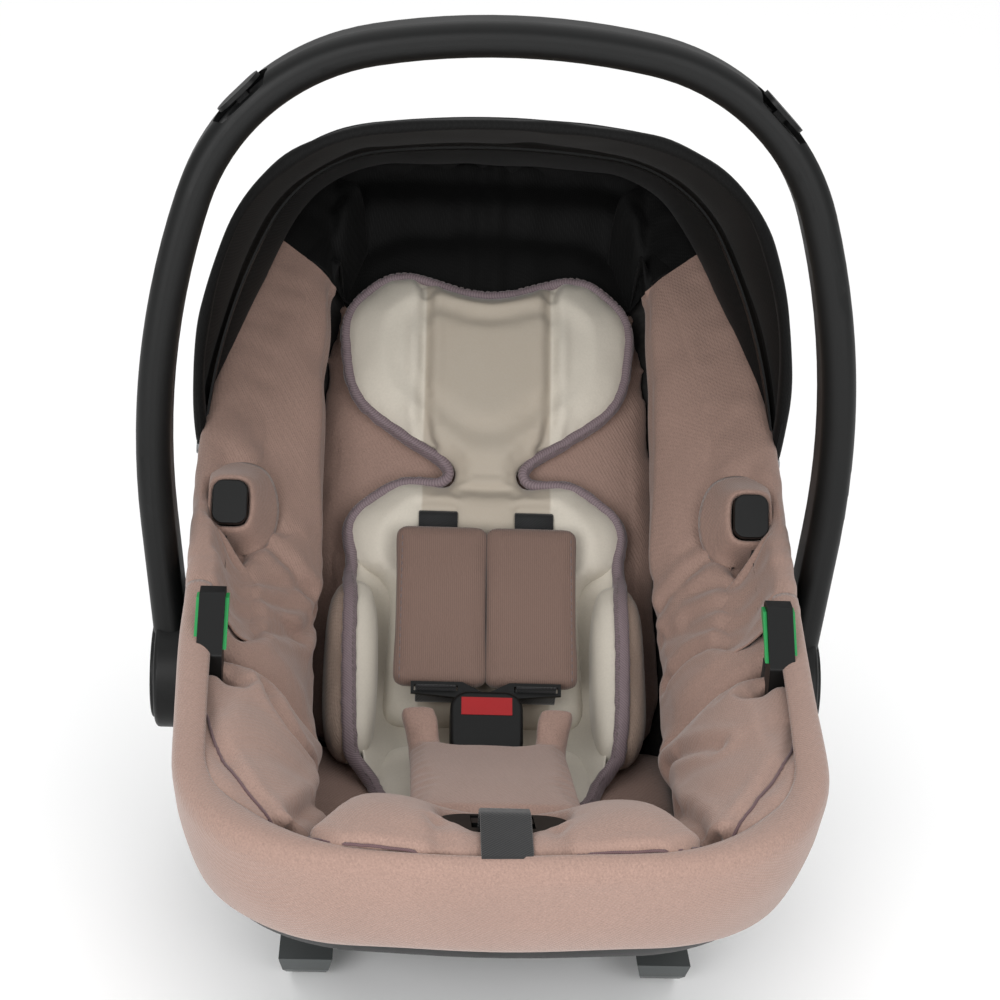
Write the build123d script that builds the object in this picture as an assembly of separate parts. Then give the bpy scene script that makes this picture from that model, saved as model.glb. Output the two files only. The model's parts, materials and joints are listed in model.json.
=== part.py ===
from build123d import *
import math
import os

os.makedirs("parts", exist_ok=True)

# Sizes in millimetres and degrees. X runs across the seat, Y from the foot end to the head end, Z up.
# The origin is on the floor under the middle of the seat.

# Clearances
GAP = 0.3
RUN_FIT = 0.05
PAD_GAP = 0.5

# Seat shell and its foam lining
SHELL_WALL = 4.0
FOAM = 14.0
FOAM_DROP = 14.0
SHELL_FLOOR = 22.0
RIM_POINTS = [(-345, 178), (-240, 186), (-50, 214), (50, 238), (110, 272), (290, 392), (345, 402)]
RIM_RADIUS = 70.0
FRONT_BOW = 12.0

# Bucket outline at each height: height, front edge, back edge, half widths at the
# front corner, the widest point and the back corner, and where the widest point lies
LEVELS = [
    (SHELL_FLOOR, -128, 82, 114, 127, 114, -20),
    (60, -188, 105, 134, 153, 124, 0),
    (110, -270, 138, 156, 174, 132, 20),
    (180, -306, 183, 170, 185, 140, 50),
    (260, -314, 242, 174, 186, 142, 100),
    (330, -318, 288, 176, 186, 124, 130),
    (396, -320, 307, 176, 186, 100, 140),
]

# Recline of the back: the pads lie on a plane through this point
BACK_TILT = 49.0
BIGHT_Y = 27.0
BIGHT_Z = 76.0
BACK_HALF = 128.0
SEAT_HALF = 124.0
INSERT_THICK = 21.5
SEAT_INSERT = 14.0

# Carry handle
PIVOT_Y = 15.0
PIVOT_Z = 133.0
HANDLE_TOP = 553.0
HANDLE_THICK = 21.0
HANDLE_DEPTH = 36.0
HANDLE_WALL = 6.5
HANDLE_ARCS = [(443, 10.7), (147, 61.3), (518, 23.5)]
HUB_RADIUS = 38.0
HUB_FACE = 186.0
HUB_OUTER = 209.0
HUB_CAP = 2.5
DISC_THICK = 3.7
DISC_RADIUS = 34.0
PIN_RADIUS = 6.0
PIN_HEAD = 10.0
CABLE_RADIUS = 1.5
PLUNGER_RADIUS = 3.6
PLUNGER_OFFSET = 23.0
GROOVE_DEPTH = 2.2
BUTTON_LENGTH = 32.0
BUTTON_WIDTH = 20.0
BUTTON_DISH = 5.0
BUTTON_LIP = 5.0
PEG_WIDTH = 6.0
PEG_LENGTH = 8.0

# Canopy
CANOPY_Y = 98.0
CANOPY_Z = 252.0
CANOPY_TOP = 236.0
CANOPY_ARCS = [(560, 8.1), (115, 60.1), (327, 27.4)]
CANOPY_FRONT = 100.0
CANOPY_MID = 70.0
CANOPY_BACK = 36.5
CANOPY_HEM = 97.0
MID_TOP = 206.0
MID_ARCS = [(620, 7.0), (100, 56.0), (360, 24.0)]
REAR_TOP = 252.5
REAR_ARCS = [(900, 5.0), (64, 61.0), (700, 17.57)]
CANOPY_CLOTH = 1.6
BOW_THICK = 1.5
BOW_WIDTH = 8.0
BOW_BACK = 1.2
BOW_GAP = 1.0
BOW_EYE = 9.0
STUD_RADIUS = 4.0

# Rocker rails and docking bars
RAIL_X = 107.0
RAIL_TOP = 32.0
RAIL_FOOT = 22.0
BAR_RADIUS = 5.0
BAR_HEIGHT = 9.0
BAR_END = 100.0
BAR_YS = (-75.0, 60.0)
SCREW_RADIUS = 2.5
SCREW_YS = (-78.0, -45.0, -15.0, 15.0)

# Harness
WEBBING = 26.0
PULL_WEB = 30.0
WEB_THICK = 1.5
SLOT_S = 153.0
SLOT_X = 32.0
STRAP_PAD_WIDTH = 52.0
STRAP_PAD_LENGTH = 110.0
STRAP_PAD_THICK = 12.0
BUCKLE_WIDTH = 46.0
BUCKLE_LENGTH = 46.0
BUCKLE_THICK = 18.0
BUCKLE_TILT = 38.0
BUCKLE_Y = -24.0
BUCKLE_Z = 114.0
PRESS_WIDTH = 32.0
PRESS_LENGTH = 12.0
TONGUE_THICK = 2.4
YOKE_S = 108.0
YOKE_H = -68.0
CROTCH_Y = -92.0
ANCHOR_WIDTH = 84.0
ANCHOR_DEPTH = 16.0
ANCHOR_THICK = 3.0
ANCHOR_Z = 46.5

# Rear release lever and shoulder belt hook
LEVER_Y = 231.0
LEVER_Z = 228.0
LEVER_PIN = 3.0
LEVER_WIDTH = 66.0
LUG_X = 38.0
LUG_WIDTH = 8.0

# Adjuster in the front roll
BEZEL_LENGTH = 74.0
BEZEL_WIDTH = 38.0
CAM_PIN = 2.5

# Belt horns, side buttons and the front fascia
HORN_WIDTH = 15.0
HORN_X = 166.0
HORN_BACK = -77.0
HORN_FRONT = -118.0
HORN_FOOT = 184.0
HORN_ARM = 214.0
HORN_TOP = 234.0
INLAY_FOOT = 208.0
HORN_POST = 16.0
INLAY_THICK = 2.0
SIDE_BUTTON_X = 165.0
SIDE_BUTTON_Y = 34.0
SIDE_BUTTON_Z = 240.0
SIDE_BUTTON_WIDTH = 22.0
SIDE_BUTTON_HEIGHT = 28.0
STEM_WIDTH = 10.0
STEM_DEPTH = 14.0
FASCIA_THICK = 3.0
FASCIA_BOTTOM = 112.0
FASCIA_END = -40.0

back = Plane(
    origin=(0, BIGHT_Y, BIGHT_Z),
    x_dir=(1, 0, 0),
    z_dir=(0, -math.sin(math.radians(BACK_TILT)), math.cos(math.radians(BACK_TILT))),
)
buckle_plane = Plane(
    origin=(0, BUCKLE_Y, BUCKLE_Z),
    x_dir=(1, 0, 0),
    z_dir=(0, -math.sin(math.radians(BUCKLE_TILT)), math.cos(math.radians(BUCKLE_TILT))),
)


def save(name, shape):
    export_step(shape, f"parts/{name}.step")


def other_side(shape):
    return mirror(shape, about=Plane.YZ)


def save_pair(name, right):
    save(f"{name}_right", right)
    save(f"{name}_left", other_side(right))


def rod_x(radius, start, end, y, z):
    """Round rod along X from start to end."""
    return Pos((start + end) / 2, y, z) * Rot(0, 90, 0) * Cylinder(radius, end - start)


def side_prism(outline, half_width):
    """Closed side outline in Y and Z, carried across the seat."""
    return extrude(Plane.YZ * make_face(outline), amount=half_width, both=True)


def bucket(inset):
    """Solid inside of the seat bucket with every wall moved in by inset."""
    faces = []
    for height, front, rear, half_front, half_mid, half_back, mid in LEVELS:
        yf = front + inset
        yb = rear - inset
        wf = half_front - inset
        wm = half_mid - inset
        wb = half_back - inset
        corners = [
            (0, yf), (wf, yf + FRONT_BOW), (wm, mid), (wb, yb),
            (-wb, yb), (-wm, mid), (-wf, yf + FRONT_BOW),
        ]
        turn = 0.57 * half_front - inset
        radii = [3.2 * half_front, turn, 150, 0.5 * half_back - inset * 0.8]
        outline = FilletPolyline(corners, radius=radii + radii[:0:-1], close=True)
        faces.append(Pos(0, 0, height + inset) * make_face(outline))
    return loft(faces)


def below_rim(drop):
    """Everything under the rim line, lowered by drop."""
    line = FilletPolyline([(y, z - drop) for y, z in RIM_POINTS], radius=RIM_RADIUS)
    first, last = RIM_POINTS[0][0], RIM_POINTS[-1][0]
    closing = Polyline(line @ 1, (last, -20), (first, -20), line @ 0)
    return side_prism(line + closing, 260)


def rim_height(y):
    """Height of the straight-run rim line at y."""
    for (y0, z0), (y1, z1) in zip(RIM_POINTS, RIM_POINTS[1:]):
        if y0 <= y <= y1:
            return z0 + (z1 - z0) * (y - y0) / (y1 - y0)


def on_back(s, h):
    """Y and Z of a point s up the recline and h in front of it."""
    c, d = math.cos(math.radians(BACK_TILT)), math.sin(math.radians(BACK_TILT))
    return BIGHT_Y + s * c - h * d, BIGHT_Z + s * d + h * c


def strap(points, width, thick=WEB_THICK, radius=6.0):
    """Flat webbing whose side view follows the points in Y and Z."""
    path = FilletPolyline(points, radius=radius)
    return extrude(Plane.YZ * trace(path, thick), amount=width / 2, both=True)


def arch(top, arcs, inset):
    """Right half of an arch of tangent arcs, from its top to its foot."""
    edges = []
    start, way = (0, top - inset), (1, 0)
    for radius, turn in arcs:
        edge = JernArc(start, way, radius - inset, -turn)
        edges.append(edge)
        start, way = edge @ 1, edge % 1
    return edges


def arch_ring(top, arcs, outer, inner):
    """Face between two parallel arches, both halves."""
    outside = arch(top, arcs, outer)
    inside = arch(top, arcs, inner)
    feet = Line(outside[-1] @ 1, inside[-1] @ 1)
    crown = Line(outside[0] @ 0, inside[0] @ 0)
    half = make_face(Curve() + outside + inside + [feet, crown])
    return half + mirror(half, about=Plane.YZ)


# Bucket spaces used more than once
outer_body = bucket(0)
shell_room = bucket(SHELL_WALL)
foam_room = bucket(SHELL_WALL + FOAM)
foam_block = (shell_room - foam_room) & below_rim(FOAM_DROP)

# Slots for the shoulder straps, cut square through the back
slots = back * Pos(SLOT_X, SLOT_S, -30) * Box(WEBBING + 6, 9, 140)
slots += other_side(slots)

crotch_slot = Pos(0, CROTCH_Y, 74) * Box(WEBBING + 4, 7, 58)
crotch_slot += Pos(0, CROTCH_Y, ANCHOR_Z) * Box(ANCHOR_WIDTH + 1, ANCHOR_DEPTH + 1, ANCHOR_THICK + 1)

# Room in the pads for the belt horn's post and for its foot on the shell wall
post_y = HORN_FRONT + HORN_POST / 2
horn_room = Pos(HORN_X, post_y, 205) * Box(
    HORN_WIDTH + 2 * INLAY_THICK + 2 * PAD_GAP, HORN_POST + 2 * PAD_GAP, 84
)
horn_room += Pos(HORN_X + 12, post_y, 184) * Box(24 + 2 * PAD_GAP, 16 + 2 * PAD_GAP, 28 + 2 * PAD_GAP)

# Webbing between the yoke behind the back and the adjuster in the front roll
pull_points = [
    on_back(YOKE_S + 6, YOKE_H - 2), on_back(YOKE_S - 12, YOKE_H - 2), (121, 78), (86, 42.4),
    (-103, 42.4), (-236, 130), (-256, 152), (-250.8, 173.5), (-251.5, 187), (-264, 191),
    (-286, 189), (-303, 187),
]
pull_web = strap(pull_points, PULL_WEB, WEB_THICK, 4)
pull_room = strap(pull_points[1:7], PULL_WEB + 4, 5.0, 4)

# Shell: bucket wall, hub bosses, adapter housings and lugs for the rear lever
boss = rod_x(HUB_RADIUS + 2, 150, HUB_FACE, PIVOT_Y, PIVOT_Z)
housing = Pos(160, 78, 128) * Box(50, 44, 66)
housing = fillet(housing.edges().filter_by(Axis.X), 6)
socket = Pos(175, 78, 116) * Box(13, 30, 60)
lugs = Pos(LUG_X, LEVER_Y - 12, LEVER_Z) * Box(LUG_WIDTH, 40, 18)
lugs += other_side(lugs)
wall_adds = boss + other_side(boss) + housing + other_side(housing) + lugs
shell = (outer_body + wall_adds) - shell_room
shell &= below_rim(0)
shell -= socket + other_side(socket)
shell -= slots + pull_room
shell -= rod_x(PIN_RADIUS, -220, 220, PIVOT_Y, PIVOT_Z)
shell -= rod_x(STUD_RADIUS, -220, 220, CANOPY_Y, CANOPY_Z)
shell -= rod_x(LEVER_PIN, -60, 60, LEVER_Y, LEVER_Z)

foam_liner = foam_block - slots - pull_room - horn_room - other_side(horn_room)
foam_liner -= rod_x(PIN_HEAD + 1, -220, 220, PIVOT_Y, PIVOT_Z)
foam_liner -= rod_x(STUD_RADIUS + 4, -220, 220, CANOPY_Y, CANOPY_Z)

# Rocker rails with bored ends for the docking bars, and their screws
rail_side = Polyline(
    (-118, 0), (80, 0), (92, 4), (99, 12), (102, SHELL_FLOOR),
    (-146, SHELL_FLOOR), (-142, 12), (-132, 4), (-118, 0),
)
rail_end = Polyline(
    (RAIL_X - RAIL_FOOT / 2, 0), (RAIL_X + RAIL_FOOT / 2, 0),
    (RAIL_X + RAIL_TOP / 2, SHELL_FLOOR), (RAIL_X - RAIL_TOP / 2, SHELL_FLOOR),
    (RAIL_X - RAIL_FOOT / 2, 0),
)
rail = side_prism(rail_side, 160) & extrude(Plane.XZ * make_face(rail_end), amount=200, both=True)
rail -= outer_body
bars = Part()
screws = Part()
for y in BAR_YS:
    bars += rod_x(BAR_RADIUS, -BAR_END, BAR_END, y, BAR_HEIGHT)
    rail -= rod_x(BAR_RADIUS, 0, BAR_END, y, BAR_HEIGHT)
for y in SCREW_YS:
    screw = Pos(RAIL_X, y, 6) * Cylinder(2 * SCREW_RADIUS, 3, align=(Align.CENTER, Align.CENTER, Align.MIN))
    screw += Pos(RAIL_X, y, 9) * Cylinder(SCREW_RADIUS, 16, align=(Align.CENTER, Align.CENTER, Align.MIN))
    screws += screw + other_side(screw)
    rail -= Pos(RAIL_X, y, 0) * Cylinder(2 * SCREW_RADIUS, 18)
    rail -= Pos(RAIL_X, y, 15) * Cylinder(SCREW_RADIUS, 40)
shell -= screws
save("rocker_rails", rail + other_side(rail))
save("docking_bars", bars)
save("rail_screws", screws)
save("shell", shell)

def rim_section(y, half, rise, inner_x, inner_z, crown, depth):
    """Side pad cut across at y: crowned top, rounded inner nose, flat underside."""
    top = rim_height(y) + rise
    nose = depth * 0.6
    points = [
        (half, top - depth - 12), (half, top), (inner_x, inner_z), (inner_x + 4, inner_z - nose),
    ]
    swell = ((half + inner_x) / 2, (top + inner_z) / 2 + crown)
    edges = [
        Line(points[0], points[1]),
        ThreePointArc(points[1], swell, points[2]),
        ThreePointArc(points[2], (inner_x - nose * 0.35, inner_z - nose * 0.5), points[3]),
        Line(points[3], points[0]),
    ]
    return Plane.XZ.offset(-y) * make_face(edges)


# Belt horn beside the rim: a hook open towards the head end
post_back = HORN_FRONT + HORN_POST
horn_side = Polyline(
    (HORN_FRONT, HORN_FOOT), (HORN_FRONT, HORN_ARM - 7), (HORN_FRONT + 28, HORN_TOP),
    (HORN_BACK - 3, HORN_TOP), (HORN_BACK, HORN_TOP - 4), (HORN_BACK - 3, HORN_TOP - 10),
    (post_back + 2, HORN_ARM), (post_back, HORN_ARM - 6), (post_back, HORN_FOOT), (HORN_FRONT, HORN_FOOT),
)
horn = Pos(HORN_X, 0, 0) * side_prism(horn_side, HORN_WIDTH / 2)
horn = fillet(horn.edges().filter_by(Axis.X), 2.5)
horn += (Pos(HORN_X + 12, post_y, 184) * Box(24, 16, 28)) & shell_room
inlay_side = Polyline(
    (HORN_FRONT + 6, INLAY_FOOT), (HORN_FRONT + 30, HORN_TOP - 4), (HORN_BACK - 4, HORN_TOP - 4),
    (HORN_BACK - 6, HORN_TOP - 8), (post_back - 1, HORN_ARM), (post_back - 4, INLAY_FOOT),
    (HORN_FRONT + 6, INLAY_FOOT),
)
inlay = Pos(HORN_X, 0, 0) * side_prism(inlay_side, HORN_WIDTH / 2 + INLAY_THICK)
inlay -= Pos(HORN_X, 0, 0) * side_prism(inlay_side, HORN_WIDTH / 2)

# Arm and front pads meet on slanted corner seams
corner_face = make_face(Polyline((-141, -345), (141, -345), (64, -205), (-64, -205), close=True))
corner_block = extrude(corner_face, amount=400)
corner_gap = extrude(make_face(offset(corner_face, PAD_GAP).wire()), amount=400)
arm_fat = loft([
    rim_section(-312, 196, 2, 92, 170, 8, 34),
    rim_section(-262, 196, 3, 92, 158, 12, 36),
    rim_section(-200, 196, 4, 100, 150, 14, 38),
    rim_section(-88, 196, 4, 107, 143, 14, 40),
])
arm_pad = (arm_fat & shell_room) - foam_block - corner_gap - horn_room
save_pair("arm_pad", arm_pad)

front_faces = []
for x, lift in [(-128, 0), (-86, 5), (-45, 6), (0, -5), (45, 6), (86, 5), (128, 0)]:
    section = [
        Line((-320, 142), (-320, 182)),
        ThreePointArc((-320, 182), (-256, 182 + lift), (-206, 156 + 0.5 * lift)),
        ThreePointArc((-206, 156 + 0.5 * lift), (-200, 145), (-208, 134)),
        Line((-208, 134), (-320, 142)),
    ]
    front_faces.append(Plane.YZ.offset(x) * make_face(section))
front_pad = (loft(front_faces) & shell_room & corner_block) - foam_block
bezel_plane = Plane(origin=(0, -246, 172), x_dir=(1, 0, 0), z_dir=(0, 0.28, 0.96))
front_pad -= extrude(
    bezel_plane * SlotOverall(BEZEL_LENGTH + 2 * PAD_GAP, BEZEL_WIDTH + 2 * PAD_GAP), amount=60, both=True
)
save("front_pad", front_pad)

# Adjuster: bezel, steel frame on its underside, cam lever on a pin
bezel = extrude(bezel_plane * SlotOverall(BEZEL_LENGTH, BEZEL_WIDTH), amount=3, both=True)
bezel -= bezel_plane * Pos(0, 2, 0) * Box(PULL_WEB + 4, 27, 20)
cheek = bezel_plane * Pos(PULL_WEB / 2 + 4, 1, -12) * Box(2, 25, 18)
floor_bar = bezel_plane * Pos(0, 11, -19) * Box(PULL_WEB + 10, 4, 4)
cam_axis = bezel_plane * Pos(0, 4.5, -9)
adjuster_frame = cheek + other_side(cheek) + floor_bar
adjuster_frame -= cam_axis * Rot(0, 90, 0) * Cylinder(CAM_PIN, 80)
cam_pin = cam_axis * Rot(0, 90, 0) * Cylinder(CAM_PIN, PULL_WEB + 10)
cam_lever = cam_axis * Rot(0, 90, 0) * Cylinder(5.5, PULL_WEB + 3)
cam_lever += bezel_plane * Pos(0, 6.5, -1) * Box(PULL_WEB + 3, 11, 7)
cam_lever -= cam_axis * Rot(0, 90, 0) * Cylinder(CAM_PIN + RUN_FIT, 80)
save("adjuster_bezel", bezel)
save("adjuster_frame", adjuster_frame)
save("adjuster_pin", cam_pin)
save("adjuster_lever", cam_lever)
save("adjuster_strap", pull_web)
save_pair("belt_horn", horn)
save("horn_inlays", inlay + other_side(inlay))

# Front fascia: fabric skirt round the foot end
fascia = (bucket(-FASCIA_THICK - GAP) - bucket(-GAP)) & below_rim(1)
fascia &= Pos(0, FASCIA_END - 160, FASCIA_BOTTOM + 70) * Box(500, 320, 140)
save("front_fascia", fascia)

# Side release buttons in guides on the shell wall
side_plane = Plane(
    origin=(SIDE_BUTTON_X, SIDE_BUTTON_Y, SIDE_BUTTON_Z), x_dir=(1, 0, 0), z_dir=(0, -0.848, 0.53)
)
side_button = extrude(
    side_plane * RectangleRounded(SIDE_BUTTON_WIDTH, SIDE_BUTTON_HEIGHT, 7), amount=4, both=True
)
side_button = fillet(side_button.edges().group_by(SortBy.LENGTH)[-1], 1.0)
side_button += side_plane * Pos(0, 0, -18) * Box(STEM_WIDTH, STEM_DEPTH, 30)
guide = side_plane * Pos(0, 0, -25) * Box(STEM_WIDTH + 8, STEM_DEPTH + 8, 14)
guide += side_plane * Pos(12, -2, -28) * Box(30, 16, 8)
guide -= side_plane * Pos(0, 0, -25) * Box(STEM_WIDTH + 2 * RUN_FIT, STEM_DEPTH + 2 * RUN_FIT, 60)
guide &= shell_room
button_room = side_plane * Pos(0, 0, 8) * Box(SIDE_BUTTON_WIDTH + 2, SIDE_BUTTON_HEIGHT + 2, 36)
button_room += side_plane * Pos(0, 0, -25) * Box(STEM_WIDTH + 10, STEM_DEPTH + 10, 32)
button_room += side_plane * Pos(12, -2, -28) * Box(32, 18, 10)
save_pair("side_button", side_button)
save("button_guides", guide + other_side(guide))
foam_liner -= button_room + other_side(button_room)
save("foam_liner", foam_liner)

# Wing pads from the belt horns to the head end
wing_fat = loft([
    rim_section(-88 + PAD_GAP, 200, 4, 107, 143, 14, 40),
    rim_section(0, 200, 4, 114, 152, 8, 40),
    rim_section(60, 200, 4, 114, 184, 8, 40),
    rim_section(120, 200, 4, 112, 237, 8, 40),
    rim_section(180, 200, 3, 109, 298, 8, 36),
    rim_section(240, 200, 2, 107, 354, 6, 34),
    rim_section(288, 200, 0, 106, 389, 4, 30),
])
wing_pad = (wing_fat & shell_room) - foam_block - horn_room - button_room
wing_pad -= rod_x(STUD_RADIUS + 5, 140, 220, CANOPY_Y, CANOPY_Z)
wing_pad = wing_pad.solids().sort_by(SortBy.VOLUME)[-1]
save_pair("wing_pad", wing_pad)

# Base cover pads in the bucket, filling the room between the side pads
side_pads = arm_fat + wing_fat
side_pads += other_side(side_pads)
seat_outline = Polyline(
    (26, 75), (-60, 76), (-98, 76), (-132, 106), (-205, 143), (-205, 110), (-190, 44), (60, 44), (26, 75),
)
seat_pad = side_prism(seat_outline, SEAT_HALF) & foam_room
seat_pad = seat_pad - pull_room - crotch_slot - side_pads
save("seat_pad", seat_pad.solids().sort_by(SortBy.VOLUME)[-1])

back_outline = Polyline((-BACK_HALF, -7), (-BACK_HALF, -70), (BACK_HALF, -70), (BACK_HALF, -7))
back_face = make_face(back_outline + ThreePointArc((-BACK_HALF, -7), (0, 0), (BACK_HALF, -7)))
back_prism = extrude(Plane.XZ * back_face, amount=-390)
back_pad = (back * Pos(0, 1, 0) * back_prism) & shell_room & below_rim(-6)
back_pad = back_pad - foam_block - slots - pull_room - side_pads
save("back_pad", back_pad.solids().sort_by(SortBy.VOLUME)[-1])


def pillow(points, radii, middle, thick):
    """Crowned cushion with drawn-in sides, on the XY plane, from its half outline."""
    whole = points + [(-x, y) for x, y in points[::-1] if x]
    turns = radii + [r for (x, y), r in zip(points[::-1], radii[::-1]) if x]
    faces = []
    for size, up in [(0.92, 0.0), (1.0, 0.34), (0.95, 0.72), (0.74, 0.94), (0.5, 1.0)]:
        ring = [(x * size, middle + (y - middle) * size) for x, y in whole]
        outline = FilletPolyline(ring, radius=[r * size for r in turns], close=True)
        faces.append(Pos(0, 0, thick * up) * make_face(outline))
    return loft(faces)


# Newborn insert: head cushion, body cushion with its seat part, two hip bolsters
head_outline = [(0, 318), (72, 335), (104, 304), (95, 238), (17, 184)]
head = pillow(head_outline, [50, 24, 34, 48, 8], 258, INSERT_THICK)
head = back * Pos(0, 0, GAP) * head
seam = back * Pos(44, 262, INSERT_THICK + 2) * Rot(90, 0, 0) * Cylinder(4, 160)
head -= seam + other_side(seam)
body_outline = [(0, 170), (58, 180), (98, 152), (96, 120), (68, 104), (68, 2)]
body = pillow(body_outline, [40, 22, 24, 14, 20, 10], 92, INSERT_THICK)
body = back * Pos(0, 0, GAP) * body - slots
seat_part = pillow([(0, 6), (66, 6), (80, -84)], [0, 14, 44], -40, SEAT_INSERT)
seat_part = Pos(0, 0, BIGHT_Z + GAP) * seat_part
bolster_faces = []
for up, x, out, half_x, half_out in [
    (-22, 84, 40, 7, 8), (0, 87, 31, 15, 26), (40, 87, 22.4, 16, 26.1),
    (80, 87, 18, 15, 20.5), (104, 86, 12, 8, 9),
]:
    section = Pos(x, out) * RectangleRounded(2 * half_x, 2 * half_out, 0.8 * half_x)
    bolster_faces.append(back * Pos(0, up, 0) * Rot(90, 0, 0) * section)
bolster = loft(bolster_faces) - back_pad
save("insert_head", head)
save("insert_body", body)
save("insert_seat", seat_part)
save_pair("insert_bolster", bolster)

# Shoulder straps run from the yoke through the slots to the tongues
strap_points = [
    on_back(YOKE_S - 6, YOKE_H + 2), on_back(SLOT_S - 8, YOKE_H + 2), on_back(SLOT_S, -55),
    on_back(SLOT_S, 24.0), on_back(142, 25.2), on_back(18, 38.4), (-2, 133),
]
shoulder_strap = Pos(SLOT_X, 0, 0) * strap(strap_points, WEBBING, WEB_THICK, 2.5)
save_pair("shoulder_strap", shoulder_strap)
yoke = back * Pos(0, YOKE_S, YOKE_H) * Box(2 * SLOT_X + WEBBING + 10, 20, 2.5)
save("harness_yoke", yoke)
pad_y, pad_z = on_back(82, 31.7)
pad_tilt = math.radians(BACK_TILT - 6.2)
pad_plane = Plane(
    origin=(SLOT_X - 2, pad_y, pad_z),
    x_dir=(1, 0, 0),
    z_dir=(0, -math.sin(pad_tilt), math.cos(pad_tilt)),
)
shoulder_pad = Box(STRAP_PAD_WIDTH, STRAP_PAD_LENGTH, STRAP_PAD_THICK)
shoulder_pad = pad_plane * Pos(0, 0, 1.2 + STRAP_PAD_THICK / 2) * shoulder_pad
shoulder_pad = fillet(shoulder_pad.edges(), 4.5)
save_pair("shoulder_pad", shoulder_pad)

# Buckle: two case halves, red button, tongues, crotch strap and its anchor plate
case = buckle_plane * RectangleRounded(BUCKLE_WIDTH, BUCKLE_LENGTH, 12)
case = extrude(case, amount=BUCKLE_THICK / 2, both=True)
case = fillet(case.edges().group_by(SortBy.LENGTH)[-1], 3)
split = buckle_plane * Pos(0, 0, 50) * Box(100, 100, 100)
mouth = buckle_plane * Pos(0, 13, -4) * Box(BUCKLE_WIDTH - 8, 34, TONGUE_THICK + 1.2)
well = buckle_plane * Pos(0, 12, 6) * Box(PRESS_WIDTH + 2 * RUN_FIT, PRESS_LENGTH + 2 * RUN_FIT, 12)
web_hole = buckle_plane * Pos(0, -20, 0) * Box(WEBBING + 2, 24, 4)
cavities = mouth + well + web_hole
buckle_front = (case & split) - cavities
buckle_back = (case - split) - cavities
button = buckle_plane * Pos(0, 12, 6.6) * Box(PRESS_WIDTH, PRESS_LENGTH, 5.4)
blade = BUCKLE_WIDTH / 2 - 6
tongue_outline = Polyline(
    (2, -2), (blade, -2), (blade, 23), (48, 26), (48, 34), (blade - 2, 34), (2, 27), (2, -2)
)
tongue = buckle_plane * Pos(0, 0, -4) * make_face(tongue_outline)
tongue = extrude(tongue, amount=TONGUE_THICK / 2, both=True)
tongue -= buckle_plane * Pos(SLOT_X, 29.5, -4) * Box(WEBBING + 2, 4, 10)
save("buckle_front", buckle_front)
save("buckle_back", buckle_back)
save("buckle_button", button)
save_pair("tongue", tongue)
crotch_points = [(-35, 105.4), (-50, 95.4), (-87, 94.4), (CROTCH_Y, 86), (CROTCH_Y, ANCHOR_Z - 1)]
save("crotch_strap", strap(crotch_points, WEBBING, WEB_THICK, 3))
anchor = Pos(0, CROTCH_Y, ANCHOR_Z) * Box(ANCHOR_WIDTH, ANCHOR_DEPTH, ANCHOR_THICK)
anchor -= Pos(0, CROTCH_Y, ANCHOR_Z) * Box(WEBBING + 1, 3, 20)
save("crotch_anchor", anchor)

# Crotch pad: flap from the front roll to the buckle, with an ear on each side of it
flap = strap([(-216, 153), (-150, 137), (-54, 112)], 92, 10, 40)
ear = Pos(37, 0, 0) * strap([(-62, 114), (-54, 112), (-28, 131)], 18, 10, 4)
crotch_pad = flap + ear + other_side(ear) - front_pad
crotch_pad -= buckle_plane * Box(BUCKLE_WIDTH + 2, BUCKLE_LENGTH + 2, BUCKLE_THICK + 2)
save("crotch_pad", crotch_pad)

# Carry handle: hollow arch on two hubs
handle_plane = Plane(origin=(0, PIVOT_Y, 0), x_dir=(1, 0, 0), z_dir=(0, -1, 0))
hub_inner = HUB_FACE + DISC_THICK + GAP
centre = arch(HANDLE_TOP, HANDLE_ARCS, HANDLE_THICK / 2)
foot, way = centre[-1] @ 1, centre[-1] % 1
leg = Line(foot, foot + way * ((foot.Y - PIVOT_Z) / -way.Y))
handle_path = handle_plane * Wire(centre + [leg])
top_plane = Plane(origin=handle_path @ 0, x_dir=(0, 1, 0), z_dir=(1, 0, 0))
bar = sweep(top_plane * RectangleRounded(HANDLE_DEPTH, HANDLE_THICK, 9), path=handle_path)
bore = sweep(
    top_plane * RectangleRounded(HANDLE_DEPTH - 2 * HANDLE_WALL, HANDLE_THICK - 2 * HANDLE_WALL, 3),
    path=handle_path,
)
bore &= Pos(0, PIVOT_Y, 400 + PIVOT_Z + HUB_RADIUS + 4) * Box(600, 200, 800)
hub = rod_x(HUB_RADIUS, hub_inner, HUB_OUTER, PIVOT_Y, PIVOT_Z)
hub = fillet(hub.edges().group_by(Axis.X)[-1], 3)
half_handle = bar - bore + hub
half_handle -= rod_x(HUB_RADIUS + 6, 120, hub_inner, PIVOT_Y, PIVOT_Z)
half_handle -= rod_x(PIN_RADIUS + RUN_FIT, 120, 230, PIVOT_Y, PIVOT_Z)
half_handle -= rod_x(PIN_HEAD + 1, HUB_OUTER - 5.5, 230, PIVOT_Y, PIVOT_Z)
half_handle -= rod_x(HUB_RADIUS - 6 + GAP, HUB_OUTER, 240, PIVOT_Y, PIVOT_Z)
half_handle -= rod_x(PLUNGER_RADIUS + RUN_FIT, 150, HUB_OUTER - 3, PIVOT_Y, PIVOT_Z + PLUNGER_OFFSET)

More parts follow.
